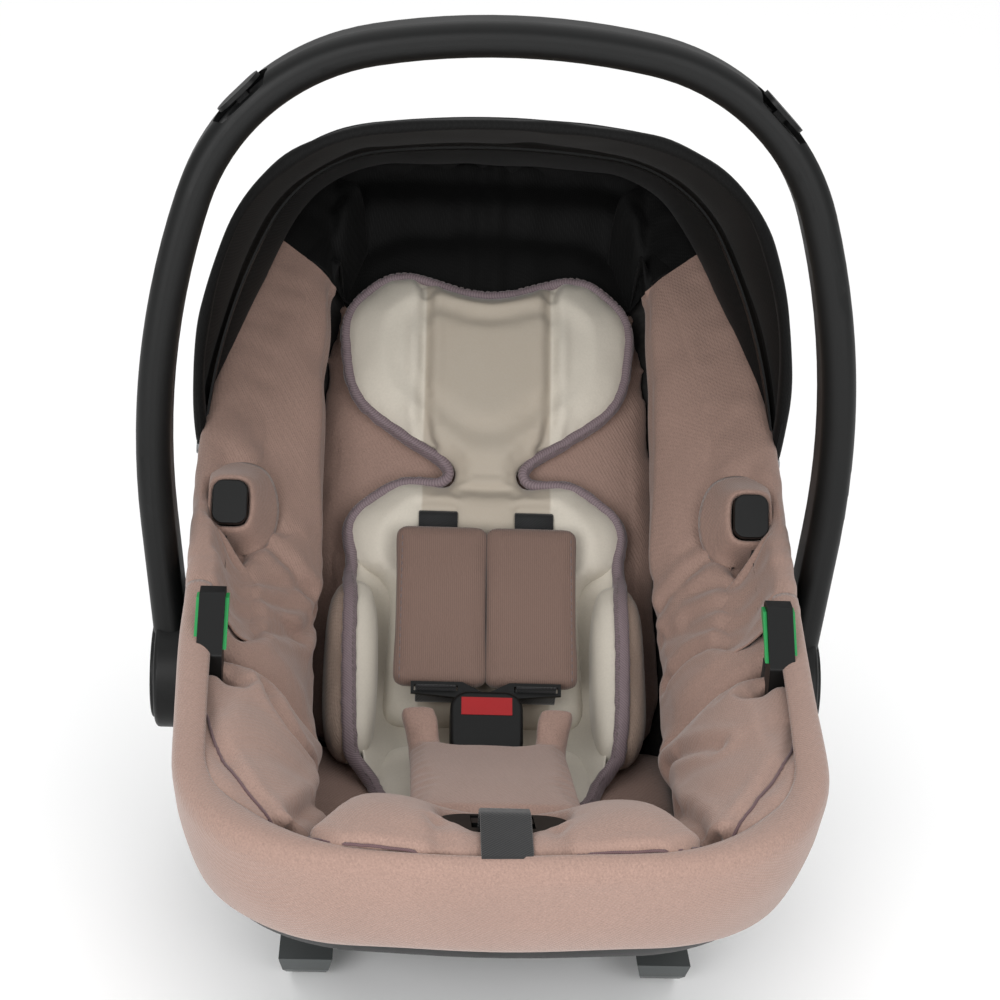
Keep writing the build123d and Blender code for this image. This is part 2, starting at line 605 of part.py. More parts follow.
# Release button in a dish on the outer corner of the handle, with a lip left behind it
corner_arc = (handle_plane * arch(HANDLE_TOP, HANDLE_ARCS, 0)[1])
button_way = Vector(1, 0, 1).normalized()
button_spot = corner_arc.arc_center + button_way * HANDLE_ARCS[1][0]
button_plane = Plane(origin=button_spot, x_dir=(0, 1, 0), z_dir=button_way)
dish = button_plane * Pos(1 - BUTTON_LIP, 0, 0) * SlotOverall(BUTTON_LENGTH + 12, HANDLE_DEPTH - 2, 90)
half_handle -= extrude(dish, amount=-BUTTON_DISH, dir=button_way)
half_handle -= button_plane * Pos(0, 0, -8) * Box(PEG_WIDTH + 2 * RUN_FIT, PEG_LENGTH + 2 * RUN_FIT, 16)
handle_button = extrude(button_plane * SlotOverall(BUTTON_LENGTH, BUTTON_WIDTH, 90), amount=1.3, both=True)
handle_button += button_plane * Pos(0, 0, -5.5) * Box(PEG_WIDTH, PEG_LENGTH, 10)
handle_bar = half_handle + other_side(half_handle)
save("handle_bar", handle_bar)
save_pair("handle_button", handle_button)
hub_cap = rod_x(HUB_RADIUS - 6, HUB_OUTER, HUB_OUTER + HUB_CAP, PIVOT_Y, PIVOT_Z)
hub_cap = fillet(hub_cap.edges().group_by(Axis.X)[-1], 1.5)
save("hub_caps", hub_cap + other_side(hub_cap))

# Release cable inside the handle, lying along the inner wall from the button to the hub
cable_inset = HANDLE_THICK - HANDLE_WALL - CABLE_RADIUS - 2 * RUN_FIT
cable_arcs = arch(HANDLE_TOP, HANDLE_ARCS, cable_inset)
cable_foot = cable_arcs[-1] @ 1
cable_drop = (cable_foot.Y - PIVOT_Z - HUB_RADIUS - 6) / -way.Y
cable_leg = Line(cable_foot, cable_foot + way * cable_drop)
cable_path = handle_plane * Wire([cable_arcs[1].trim(0.68, 1), cable_arcs[2], cable_leg])
cable = sweep(Plane(origin=cable_path @ 0, z_dir=cable_path % 0) * Circle(CABLE_RADIUS), path=cable_path)
save("release_cables", cable + other_side(cable))

# Pivot pins, lock discs with a ring groove and detent pockets, and lock plungers
pin = rod_x(PIN_RADIUS, HUB_FACE - 22, HUB_OUTER - 5, PIVOT_Y, PIVOT_Z)
pin += rod_x(PIN_HEAD, HUB_OUTER - 5, HUB_OUTER - 1, PIVOT_Y, PIVOT_Z)
disc = rod_x(DISC_RADIUS, HUB_FACE, HUB_FACE + DISC_THICK, PIVOT_Y, PIVOT_Z)
disc -= rod_x(PIN_RADIUS, 150, 230, PIVOT_Y, PIVOT_Z)
groove = rod_x(PLUNGER_OFFSET + 5, HUB_FACE + DISC_THICK - GROOVE_DEPTH, 230, PIVOT_Y, PIVOT_Z)
groove -= rod_x(PLUNGER_OFFSET - 5, 150, 240, PIVOT_Y, PIVOT_Z)
disc -= groove
for angle in (0, 90, -90):
    a = math.radians(angle)
    disc -= rod_x(
        PLUNGER_RADIUS + GAP, 150, 230,
        PIVOT_Y + PLUNGER_OFFSET * math.sin(a), PIVOT_Z + PLUNGER_OFFSET * math.cos(a),
    )
plunger = rod_x(
    PLUNGER_RADIUS, HUB_FACE + DISC_THICK - GROOVE_DEPTH + GAP, HUB_OUTER - 8,
    PIVOT_Y, PIVOT_Z + PLUNGER_OFFSET,
)
save("pivot_pins", pin + other_side(pin))
save("lock_discs", disc + other_side(disc))
save_pair("lock_plunger", plunger)


def canopy_plane(angle):
    """Plane through the canopy pivots, turned up from the head end by angle."""
    a = math.radians(angle)
    return Plane(origin=(0, CANOPY_Y, CANOPY_Z), x_dir=(1, 0, 0), z_dir=(0, -math.sin(a), math.cos(a)))


# Canopy: cloth hood from the front bow over the middle bow to the rim, on shared studs
front_ring = arch_ring(CANOPY_TOP, CANOPY_ARCS, 0, CANOPY_CLOTH)
mid_ring = arch_ring(MID_TOP, MID_ARCS, 0, CANOPY_CLOTH)
rear_ring = arch_ring(REAR_TOP, REAR_ARCS, 0, CANOPY_CLOTH)
axis = Axis((0, CANOPY_Y, CANOPY_Z), (1, 0, 0))
canopy = revolve(canopy_plane(CANOPY_HEM) * front_ring, axis, CANOPY_FRONT - CANOPY_HEM)
canopy += loft(
    [
        (canopy_plane(CANOPY_HEM) * front_ring).face(),
        (canopy_plane(CANOPY_MID) * mid_ring).face(),
        (canopy_plane(CANOPY_BACK) * rear_ring).face(),
    ],
    ruled=True,
)
casing = arch_ring(CANOPY_TOP, CANOPY_ARCS, CANOPY_CLOTH - GAP, CANOPY_CLOTH + BOW_GAP)
canopy += canopy_plane(CANOPY_FRONT - BOW_BACK) * extrude(casing, amount=3, both=True)
canopy -= rod_x(BOW_EYE + 3, -230, 230, CANOPY_Y, CANOPY_Z)
save("canopy_fabric", canopy.solids().sort_by(SortBy.VOLUME)[-1])
eye = arch(CANOPY_TOP, CANOPY_ARCS, 0)[-1] @ 1
bow_inset = CANOPY_CLOTH + BOW_GAP
for name, angle, top, arcs, inset in [
    ("canopy_front_bow", CANOPY_FRONT - BOW_BACK, CANOPY_TOP, CANOPY_ARCS, bow_inset),
    ("canopy_mid_bow", CANOPY_MID, MID_TOP, MID_ARCS, bow_inset + BOW_THICK + GAP),
]:
    ring = arch_ring(top, arcs, inset, inset + BOW_THICK)
    bow = canopy_plane(angle) * extrude(ring, amount=BOW_WIDTH / 2, both=True)
    ends = rod_x(BOW_EYE, eye.X - inset - BOW_THICK, eye.X - inset, CANOPY_Y, CANOPY_Z)
    bow += ends + other_side(ends)
    bow -= rod_x(STUD_RADIUS + RUN_FIT, -230, 230, CANOPY_Y, CANOPY_Z)
    save(name, bow)
stud = rod_x(STUD_RADIUS, 172, eye.X, CANOPY_Y, CANOPY_Z)
stud += rod_x(STUD_RADIUS + 4, 172, 175, CANOPY_Y, CANOPY_Z)
save("canopy_studs", stud + other_side(stud))

# Rear release lever on a pin between the lugs
lever = rod_x(7, -LEVER_WIDTH / 2, LEVER_WIDTH / 2, LEVER_Y, LEVER_Z)
lever += Pos(0, LEVER_Y, LEVER_Z) * Rot(53.6, 0, 0) * Pos(0, -25, 0) * Box(LEVER_WIDTH, 50, 5)
lever -= rod_x(LEVER_PIN + RUN_FIT, -60, 60, LEVER_Y, LEVER_Z)
save("release_lever", lever)
save("lever_pin", rod_x(LEVER_PIN, -LUG_X - LUG_WIDTH / 2, LUG_X + LUG_WIDTH / 2, LEVER_Y, LEVER_Z))

# Shoulder belt hook on the back of the shell
hook_points = [(248, 300), (282, 287), (301, 304), (310, 332)]
hook = strap(hook_points, 60, 6, 8) - outer_body
save("belt_hook", hook)
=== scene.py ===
import json
import math

import bmesh
import bpy
import numpy as np
from bpy.props import FloatProperty, FloatVectorProperty, IntProperty, PointerProperty
from mathutils import Matrix, Vector, noise
from mathutils.bvhtree import BVHTree


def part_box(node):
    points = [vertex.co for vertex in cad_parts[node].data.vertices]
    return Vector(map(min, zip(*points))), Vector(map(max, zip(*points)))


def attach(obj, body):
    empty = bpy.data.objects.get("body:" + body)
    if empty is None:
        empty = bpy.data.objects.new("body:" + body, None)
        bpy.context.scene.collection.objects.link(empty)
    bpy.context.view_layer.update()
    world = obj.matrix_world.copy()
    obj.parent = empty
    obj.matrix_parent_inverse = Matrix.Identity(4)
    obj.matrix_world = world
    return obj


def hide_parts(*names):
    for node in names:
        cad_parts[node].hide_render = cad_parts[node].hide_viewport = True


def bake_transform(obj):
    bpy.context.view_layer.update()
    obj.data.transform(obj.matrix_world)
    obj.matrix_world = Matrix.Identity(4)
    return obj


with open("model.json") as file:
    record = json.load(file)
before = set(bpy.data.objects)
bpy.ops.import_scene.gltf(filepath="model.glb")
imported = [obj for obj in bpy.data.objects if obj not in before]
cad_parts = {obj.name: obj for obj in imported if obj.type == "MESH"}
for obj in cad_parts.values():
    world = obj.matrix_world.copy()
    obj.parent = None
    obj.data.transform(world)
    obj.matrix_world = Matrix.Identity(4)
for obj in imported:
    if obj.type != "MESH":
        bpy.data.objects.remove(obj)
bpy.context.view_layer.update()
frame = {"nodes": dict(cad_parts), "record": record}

bl_info = {
    "name": "Infant carrier looks",
    "version": (1, 0, 0),
    "blender": (4, 5, 0),
    "location": "3D View > Sidebar > Carrier",
    "description": "Cover, insert, harness, canopy and finishes round the carrier's frame",
    "category": "Object",
}

# Rim line of the shell and recline of the back, as in the part's source, in metres
RIM = [(-0.345, 0.178), (-0.24, 0.186), (-0.05, 0.214), (0.05, 0.238), (0.11, 0.272), (0.29, 0.392)]
BACK_TILT = math.radians(49.0)
BIGHT = Vector((0.0, 0.027, 0.076))
CANOPY_HINGE = Vector((0.0, 0.098, 0.252))
# Arches of the canopy: angle of the plane, height of the top, then radius and turn of each arc
REAR_ARCH = (36.5, 0.2525, [(0.9, 5.0), (0.064, 61.0), (0.7, 17.57)])
MID_ARCH = (70.0, 0.206, [(0.62, 7.0), (0.1, 56.0), (0.36, 24.0)])
FRONT_ARCH = (100.0, 0.236, [(0.56, 8.1), (0.115, 60.1), (0.327, 27.4)])
# Sewn line between the skirt and the pads, from right to left, in millimetres
SEAM = [
    (176, -100, 206), (174, -133, 202), (173, -162, 197), (150, -214, 187), (116, -267, 175), (92, -287, 182),
    (68, -298, 187), (27, -300, 185), (0, -302, 183), (-34, -303, 181), (-66, -299, 185), (-90, -290, 184),
    (-118, -263, 175), (-140, -231, 184), (-159, -191, 191), (-173, -113, 202),
]
# Folds and seams of the pads: depth, then points, in millimetres
FOLDS = [
    (4.0, [(-138, -114, 181), (-130, -129, 174), (-122, -141, 166), (-114, -144, 157), (-107, -137, 146)]),
    (4.0, [(102, -117, 139), (111, -126, 149), (120, -146, 164), (129, -161, 175)]),
    (4.5, [(-118, -263, 175), (-111, -234, 167), (-101, -170, 146)]),
    (4.5, [(114, -262, 173), (108, -228, 165), (102, -176, 147)]),
    (4.0, [(-153, -63, 191), (-139, -29, 177), (-124, -5, 164), (-109, 32, 162)]),
    (4.0, [(114, -19, 147), (135, -29, 172), (153, -52, 190)]),
    (3.0, [(107, 35, 162), (125, 39, 183), (141, 44, 202), (148, 42, 207), (164, 26, 212)]),
    (3.0, [(-107, 35, 162), (-125, 39, 183), (-141, 44, 202), (-148, 42, 207), (-164, 26, 212)]),
    (2.5, [(176, 85, 251), (164, 35, 216), (164, -1, 205), (164, -31, 205)]),
    (2.5, [(-176, 85, 251), (-164, 35, 216), (-164, -1, 205), (-164, -31, 205)]),
    (2.6, [(130, 29, 183), (146, 18, 194), (161, 8, 204)]),
    (2.6, [(131, 7, 176), (146, -4, 188), (160, -15, 199)]),
    (2.6, [(114, 18, 160), (133, -5, 174), (151, -28, 189)]),
    (2.6, [(-158, -20, 197), (-130, 11, 176), (-109, 34, 163)]),
    (2.6, [(-155, -33, 193), (-135, -10, 175), (-124, -5, 164)]),
    (2.6, [(-156, 0, 198), (-127, 32, 181), (-107, 47, 168)]),
    (3.0, [(-36, -270, 188), (-34, -294, 188), (-33, -300, 184)]),
    (3.0, [(27, -270, 188), (26, -294, 188), (25, -300, 184)]),
]
SIDES = (("right", 1.0), ("left", -1.0))
# On the right wing: middle of the canopy pivot's hole, and a side button's middle, face and half sizes
PIVOT_SPOT = (0.158, 0.098, 0.251)
BUTTON_SPOT = (0.165, 0.034, 0.24)
BUTTON_FACE = Vector((0, -0.848, 0.53))
BUTTON_HALF = (0.011, 0.014)
SURROUND_LIMIT = 0.179
WING_START = 0.1
# Rim wraps: y at both ends, how far they reach in, and where and how far they keep clear of a side button
WRAP_HEAD, WRAP_FOOT, WRAP_DEPTH = 0.278, -0.066, 0.04
BUTTON_PASS, BUTTON_CLEAR = 0.037, 0.024
# Sag of the canopy cloth behind and before the middle bow
REAR_SAG, FRONT_SAG = 0.010, 0.006
DOWN = Vector((0, 0, -1))
# Wave bands repeat every 0.314 m at scale 1
WAVE_REPEAT = 0.314
# Lamps: name, place, size and power
LAMPS = (("key", (-1.0, -2.1, 1.0), 1.2, 31.0), ("fill", (1.0, -2.0, 1.0), 1.4, 20.0))
ROOM_LIGHT = 0.58
OVERHEAD_LIGHT = 1.45
# The photo's camera: angles in degrees, the point it looks at, its distance and lens
PHOTO_AZIMUTH, PHOTO_ELEVATION, PHOTO_ROLL = -3.0, 22.0, 2.76
PHOTO_TARGET = Vector((0.00466, 0.03, 0.2484))
PHOTO_DISTANCE = 1.449
PHOTO_LENS = 82.8


def linear(code):
    """Linear colour of an sRGB hex value."""
    parts = [int(code[i:i + 2], 16) / 255 for i in (1, 3, 5)]
    return [c / 12.92 if c <= 0.04045 else ((c + 0.055) / 1.055) ** 2.4 for c in parts] + [1.0]


def length(name, description, default):
    """A length in metres as a setting."""
    return FloatProperty(name=name, description=description, default=default, unit="LENGTH")


def colour(name, description, code):
    """A colour as a setting."""
    return FloatVectorProperty(name=name, description=description, subtype="COLOR", size=4, default=linear(code))


class CoverSizes(bpy.types.PropertyGroup):
    """Sizes of the padded cover."""
    voxel: length("Voxel", "Grid that the pads are rebuilt on", 0.0048)
    pressure: FloatProperty(name="Pressure", description="How hard the pads are filled", default=4.0)
    swell: length("Swell", "Most that a point of a pad may move", 0.007)
    ease: length("Ease", "Cloth let out before the filling", 0.0012)
    frames: IntProperty(name="Frames", description="Steps of the cloth simulation", default=20)
    wrinkle: length("Wrinkle", "Depth of the soft folds in the cover", 0.0022)
    skirt_gap: length("Skirt offset", "How far the skirt stands off the shell", 0.0022)
    # The dark cord along the skirt's seam is a painted shadow line where skirt and pads meet
    shadow_cord: length("Piping", "Radius of the sewn line on the skirt", 0.0009)


class TrimSizes(bpy.types.PropertyGroup):
    """Sizes of the binding, webbing and stitches."""
    binding: length("Binding", "Half the width of the insert's binding", 0.0048)
    stitch: length("Stitch", "Length of one stitch", 0.0032)
    pitch: length("Pitch", "Distance from stitch to stitch", 0.0046)
    thread: length("Thread", "Radius of the sewing thread", 0.00035)
    webbing: length("Webbing", "Thickness of the harness webbing", 0.0015)


class Colours(bpy.types.PropertyGroup):
    """Main colours of the carrier."""
    cover: colour("Cover", "Taupe of the woven cover", "#9A7E72")
    insert: colour("Insert", "Pale jersey of the insert", "#C8C1B4")
    plastic: colour("Plastic", "Black of the mouldings", "#060707")


def settings():
    """The add-on's settings in this scene."""
    scene = bpy.context.scene
    return scene.carrier_cover, scene.carrier_trim, scene.carrier_colours


# Meshes

def deselect():
    bpy.ops.object.select_all(action="DESELECT")


def activate(piece):
    deselect()
    piece.select_set(True)
    bpy.context.view_layer.objects.active = piece


def new_piece(name, points, faces):
    """A mesh object at the origin from points and faces."""
    mesh = bpy.data.meshes.new(name)
    mesh.from_pydata([tuple(p) for p in points], [], faces)
    mesh.validate()
    piece = bpy.data.objects.new(name, mesh)
    bpy.context.scene.collection.objects.link(piece)
    return piece


def cad_copy(name, *nodes):
    """Welded copy of one or more CAD solids."""
    shape = bmesh.new()
    for node in nodes:
        shape.from_mesh(frame["nodes"][node].data)
    bmesh.ops.remove_doubles(shape, verts=shape.verts, dist=1e-5)
    mesh = bpy.data.meshes.new(name)
    shape.to_mesh(mesh)
    shape.free()
    piece = bpy.data.objects.new(name, mesh)
    bpy.context.scene.collection.objects.link(piece)
    return piece


def finish_with(piece, kind, **values):
    """Adds a modifier and applies it."""
    modifier = piece.modifiers.new(kind.title(), kind)
    for key, value in values.items():
        setattr(modifier, key, value)
    activate(piece)
    bpy.ops.object.modifier_apply(modifier=modifier.name)
    return piece


def smooth(piece):
    activate(piece)
    bpy.ops.object.shade_smooth()
    return piece


def rebuild(piece, voxel):
    return finish_with(piece, "REMESH", mode="VOXEL", voxel_size=voxel)


def relax(piece, rounds, **values):
    return finish_with(piece, "SMOOTH", factor=0.5, iterations=rounds, **values)


def divide(piece, levels=1):
    return finish_with(piece, "SUBSURF", levels=levels, render_levels=levels)


def thicken(piece, thickness):
    return finish_with(piece, "SOLIDIFY", thickness=thickness, offset=0)


def grid(count, ring, start=0, loop=False, closed=False):
    """Faces between count rows of ring points each; loop joins a row's ends, closed the last row to the first."""
    faces = []
    for i in range(count if closed else count - 1):
        a, b = start + i * ring, start + (i + 1) % count * ring
        for j in range(ring if loop else ring - 1):
            k = (j + 1) % ring
            faces.append((a + j, a + k, b + k, b + j))
    return faces


def places(piece, key="co"):
    """Vertex places, or normals, as an array."""
    values = np.zeros(len(piece.data.vertices) * 3, np.float32)
    piece.data.vertices.foreach_get(key, values)
    return values.reshape(-1, 3).astype(float)


def put(piece, points):
    piece.data.vertices.foreach_set("co", points.astype(np.float32).ravel())
    piece.data.update()


def tree_of(*pieces):
    """Search tree over the faces of some pieces, given themselves or by name."""
    points, faces = [], []
    for piece in pieces:
        piece = bpy.data.objects[piece] if isinstance(piece, str) else piece
        start = len(points)
        points += [v.co.copy() for v in piece.data.vertices]
        faces += [[start + i for i in p.vertices] for p in piece.data.polygons]
    return BVHTree.FromPolygons(points, faces)


shell_tree = tree_of(frame["nodes"]["shell"])


def swell(piece, pressure, cap):
    """Fills a pad by cloth simulation; points that lie against the shell stay where they are."""
    rest = places(piece)
    modifier = piece.modifiers.new("Fill", "CLOTH")
    cloth = modifier.settings
    cloth.use_pressure = True
    cloth.uniform_pressure_force = pressure
    cloth.effector_weights.gravity = 0
    cloth.quality = 4
    cloth.mass = 0.25
    cloth.bending_stiffness = 0.4
    modifier.point_cache.frame_end = settings()[0].frames
    for step in range(1, settings()[0].frames + 1):
        bpy.context.scene.frame_set(step)
    seen = piece.evaluated_get(bpy.context.evaluated_depsgraph_get())
    moved = places(seen) - rest
    piece.modifiers.remove(modifier)
    bpy.context.scene.frame_set(1)
    length = np.linalg.norm(moved, axis=1)
    most = cap(rest) if callable(cap) else cap
    moved *= np.minimum(1.0, most / np.maximum(length, 1e-9))[:, None]
    away = np.array([shell_tree.find_nearest(Vector(p))[3] for p in rest])
    moved *= np.clip((away - 0.003) / 0.012, 0, 1)[:, None]
    put(piece, rest + moved)
    return piece


def join(piece, *others):
    """Joins other objects into a piece."""
    deselect()
    for other in others:
        other.select_set(True)
    piece.select_set(True)
    bpy.context.view_layer.objects.active = piece
    bpy.ops.object.join()


def pad(name, nodes, voxel=None, pressure=None, cap=None, relaxing=6, plugs=(), soft=None):
    """A padded piece from CAD solids and plugs: rebuilt on a grid, filled and subdivided once.

    soft gives a weight to each point for a second, stronger smoothing.
    """
    cover = settings()[0]
    piece = cad_copy(name, *nodes)
    if plugs:
        join(piece, *plugs)
    rebuild(piece, voxel or cover.voxel)
    relax(piece, relaxing)
    if soft:
        group = piece.vertex_groups.new(name="soft")
        for i, weight in enumerate(soft(places(piece))):
            group.add([i], float(weight), "REPLACE")
        relax(piece, 26, vertex_group="soft")
        piece.vertex_groups.clear()
    put(piece, places(piece) + places(piece, "normal") * cover.ease)
    swell(piece, pressure or cover.pressure, cap or cover.swell)
    return smooth(divide(piece))


def distance_to(points, path):
    """Distance of each point to a line through path."""
    best = np.full(len(points), 1e9)
    for a, b in zip(path, path[1:]):
        a, b = np.array(a, float), np.array(b, float)
        along = b - a
        t = np.clip(((points - a) @ along) / max(along @ along, 1e-12), 0, 1)
        best = np.minimum(best, np.linalg.norm(points - a - t[:, None] * along, axis=1))
    return best


def crease(piece, path, depth, width, tree=None):
    """Draws a piece in along a line laid on its surface; the cloth stands up a little beside it."""
    tree = tree or tree_of(piece)
    reach = 0.012
    laid = [tree.find_nearest(Vector(p), reach)[0] for p in resample([tuple(p) for p in path], 0.004)]
    laid = [spot for spot in laid if spot is not None]
    if len(laid) > 1:
        points = places(piece)
        away = distance_to(points, laid) / width
        drawn = np.exp(-away ** 2) - 0.3 * np.exp(-(away - 2.2) ** 2)
        put(piece, points - places(piece, "normal") * (depth * drawn)[:, None])


def wrinkle(piece, depth, stretch, seed, where=None):
    """Soft folds: noise along the normals, drawn out along the longest side of stretch."""
    points = places(piece)
    shift = Vector((seed * 7.1, seed * 3.7, seed * 1.9))
    lift = np.array([
        noise.noise(Vector((p[0] / stretch[0], p[1] / stretch[1], p[2] / stretch[2])) + shift)
        for p in points
    ])
    lift = np.where(lift < 0, 1.4 * lift, 0.7 * lift) * depth
    if where is not None:
        lift *= where(points)
    put(piece, points + places(piece, "normal") * lift[:, None])


def resample(path, step, closed=False):
    """Points at equal steps along a line."""
    line = np.array(list(path) + ([path[0]] if closed else []), float)
    run = np.concatenate([[0], np.cumsum(np.linalg.norm(np.diff(line, axis=0), axis=1))])
    count = max(2, int(round(run[-1] / step)) + 1)
    at = np.linspace(0, run[-1], count)
    made = np.stack([np.interp(at, run, line[:, i]) for i in range(3)], axis=1)
    return made[:-1] if closed else made


def eased(path, closed=False):
    """Cuts the corners of a line a few times over."""
    line = np.array(path, float)
    for _ in range(3):
        after = np.roll(line, -1, axis=0)
        near, far = 0.75 * line + 0.25 * after, 0.25 * line + 0.75 * after
        cut = np.stack([near, far], axis=1).reshape(-1, 3)
        line = cut if closed else np.concatenate([line[:1], cut[1:-3], line[-1:]])
    return line


def lay(path, tree, lift=0.0):
    """Drops a line onto the nearest surface and gives its points and normals."""
    points, normals = [], []
    for p in path:
        spot, normal, _, _ = tree.find_nearest(Vector(p))
        points.append(spot + normal * lift)
        normals.append(normal)
    return np.array(points), np.array(normals)


def sweep(name, path, normals, profile, closed=False):
    """Carries a profile of (side, up) along a line; its UV holds metres round and along."""
    path, normals = np.array(path, float), np.array(normals, float)
    count, ring = len(path), len(profile)
    if closed:
        ahead = np.roll(path, -1, axis=0) - np.roll(path, 1, axis=0)
    else:
        ahead = np.gradient(path, axis=0)
    ahead /= np.linalg.norm(ahead, axis=1)[:, None]
    side = np.cross(ahead, normals)
    side /= np.linalg.norm(side, axis=1)[:, None]
    up = np.cross(side, ahead)
    points = [path[i] + side[i] * s + up[i] * u for i in range(count) for s, u in profile]
    faces = grid(count, ring, loop=True, closed=closed)
    if not closed:
        faces.append(tuple(range(ring))[::-1])
        faces.append(tuple((count - 1) * ring + j for j in range(ring)))
    piece = new_piece(name, points, faces)
    run = np.concatenate([[0], np.cumsum(np.linalg.norm(np.diff(path, axis=0), axis=1))])
    width = [s for s, _ in profile]
    layer = piece.data.uv_layers.new(name="strip")
    for face in piece.data.polygons:
        for corner in face.loop_indices:
            vertex = piece.data.loops[corner].vertex_index
            layer.data[corner].uv = (width[vertex % ring], run[vertex // ring])
    activate(piece)
    bpy.ops.object.mode_set(mode="EDIT")
    bpy.ops.mesh.select_all(action="SELECT")
    bpy.ops.mesh.normals_make_consistent(inside=False)
    bpy.ops.object.mode_set(mode="OBJECT")
    return smooth(piece)


def oval(half_width, half_height, count=12, power=1.0):
    """Round or squarish closed profile."""
    turn = [2 * math.pi * i / count for i in range(count)]

    def soft(value):
        return math.copysign(abs(value) ** power, value)

    return [(half_width * soft(math.cos(t)), half_height * soft(math.sin(t))) for t in turn]


def stitches(name, path, normals, closed=False):
    """A row of short stitches along a line, as one mesh."""
    _, trim, _ = settings()
    path, normals = np.array(path), np.array(normals)
    spots = resample(path, trim.pitch, closed)
    points, faces = [], []
    rings = [(-0.5, 0.35), (-0.3, 1.0), (0.3, 1.0), (0.5, 0.35)]
    for i, spot in enumerate(spots[:-1]):
        normal = normals[np.argmin(((path - spot) ** 2).sum(1))]
        ahead = spots[i + 1] - spot
        ahead /= np.linalg.norm(ahead)
        side = np.cross(ahead, normal)
        side /= np.linalg.norm(side)
        start = len(points)
        for reach, size in rings:
            for turn in range(5):
                a = 2 * math.pi * turn / 5
                points.append(
                    spot + ahead * reach * trim.stitch
                    + (side * math.cos(a) * 1.3 + normal * math.sin(a)) * trim.thread * size
                )
        faces += grid(len(rings), 5, start, loop=True)
        faces.append(tuple(start + k for k in range(5))[::-1])
        faces.append(tuple(start + 15 + k for k in range(5)))
    return smooth(new_piece(name, points, faces))


def on_back(x, s, h):
    """Point at x across, s up the recline and h in front of it, given in millimetres."""
    c, d = math.cos(BACK_TILT), math.sin(BACK_TILT)
    return Vector((x, BIGHT.y * 1e3 + s * c - h * d, BIGHT.z * 1e3 + s * d + h * c)) / 1e3


BACK_UP = (on_back(0, 1, 0) - on_back(0, 0, 0)).normalized()
BACK_OUT = (on_back(0, 0, 1) - on_back(0, 0, 0)).normalized()


def mirrored(spot, way):
    """A place on the right, or its mirror image on the left."""
    return Vector((spot[0] * way, spot[1], spot[2]))


def settle(piece, slot, finish, *nodes, body="seat", fill=None):
    """Gives a piece its finish, the nodes it stands for and the body it moves with; its filling is not used."""
    piece.data.materials.clear()
    piece.data.materials.append(finish_of(finish))
    if nodes:
        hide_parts(*nodes)
    if body:
        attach(piece, body)
    return piece


# Finishes

def add(tree, kind, sockets=None, **values):
    """Adds a node, sets its values and fills or links its sockets."""
    made = tree.nodes.new("ShaderNode" + kind)
    for key, value in values.items():
        setattr(made, key, value)
    for key, value in (sockets or {}).items():
        if isinstance(value, bpy.types.NodeSocket):
            tree.links.new(value, made.inputs[key])
        else:
            made.inputs[key].default_value = value
    return made


def start_finish(name, roughness, **shader):
    """An empty material with its shader and output."""
    finish = bpy.data.materials.new(name)
    finish.use_nodes = True
    tree = finish.node_tree
    tree.nodes.clear()
    sockets = {"Roughness": roughness}
    sockets.update({key.replace("_", " "): value for key, value in shader.items()})
    surface = add(tree, "BsdfPrincipled", sockets)
    add(tree, "OutputMaterial", {"Surface": surface.outputs[0]})
    return finish, tree, surface


def blend_colours(tree, factor, first, second):
    """Mix of two colours by a factor."""
    mix = add(tree, "Mix", {0: factor, 6: first, 7: second}, data_type="RGBA")
    return mix.outputs[2]


def shaded(tone, share):
    """A colour made darker or lighter."""
    return [min(1.0, c * share) for c in tone[:3]] + [1.0]


def cloud(tree, where, scale, detail, **sockets):
    """Noise at a place."""
    return add(tree, "TexNoise", {"Vector": where, "Scale": scale, "Detail": detail, **sockets}).outputs["Fac"]


def ribs(tree, where, pitch, direction, distortion, **sockets):
    """Bands at a pitch in metres."""
    sockets = {"Vector": where, "Scale": WAVE_REPEAT / pitch, "Distortion": distortion, **sockets}
    return add(tree, "TexWave", sockets, bands_direction=direction).outputs["Fac"]


def ramp(tree, value, low, high, start=0.0, end=1.0):
    """A value from start to end, stretched to run from low to high."""
    return add(tree, "MapRange", {
        "Value": value, "From Min": start, "From Max": end, "To Min": low, "To Max": high,
    }).outputs[0]


def relief(tree, height, strength, depth, **values):
    """The normal of a surface with a height."""
    bump = add(tree, "Bump", {"Strength": strength, "Distance": depth, "Height": height}, **values)
    return bump.outputs[0]


def wire(tree, surface, **sources):
    """Links values to the shader."""
    for key, source in sources.items():
        tree.links.new(source, surface.inputs[key.replace("_", " ")])


def weave(tree, where, pitch, turn, strength, depth):
    """Plain weave of two sets of threads as a normal, and its height."""
    turned = add(tree, "Mapping", {"Vector": where, "Rotation": turn}).outputs[0]
    warp, weft = (ribs(tree, turned, pitch, way, 0.6, Detail=1.0) for way in "XY")
    height = add(tree, "Math", {0: warp, 1: weft}, operation="MULTIPLY").outputs[0]
    return relief(tree, height, strength, depth), height


def woven_melange(name, tone):
    """Melange polyester: threads of several taupes, so the colour is flecked, with a soft sheen."""
    finish, tree, surface = start_finish(name, 0.82, Sheen_Weight=0.25, Sheen_Roughness=0.45)
    where = add(tree, "TexCoord").outputs["Object"]
    normal, _ = weave(tree, where, 0.0016, (0.6, 0.5, 0.78), 0.35, 0.0006)
    # Slubs a few millimetres long and a large slow change of tone
    slub = cloud(tree, where, 900.0, 3.0, Roughness=0.7)
    dark = shaded(tone, 0.5)
    flecked = blend_colours(tree, slub, dark, shaded(tone, 1.35))
    shade = ramp(tree, cloud(tree, where, 14.0, 2.0), 0.0, 0.35)
    wire(tree, surface, Base_Color=blend_colours(tree, shade, flecked, dark), Normal=normal)
    return finish


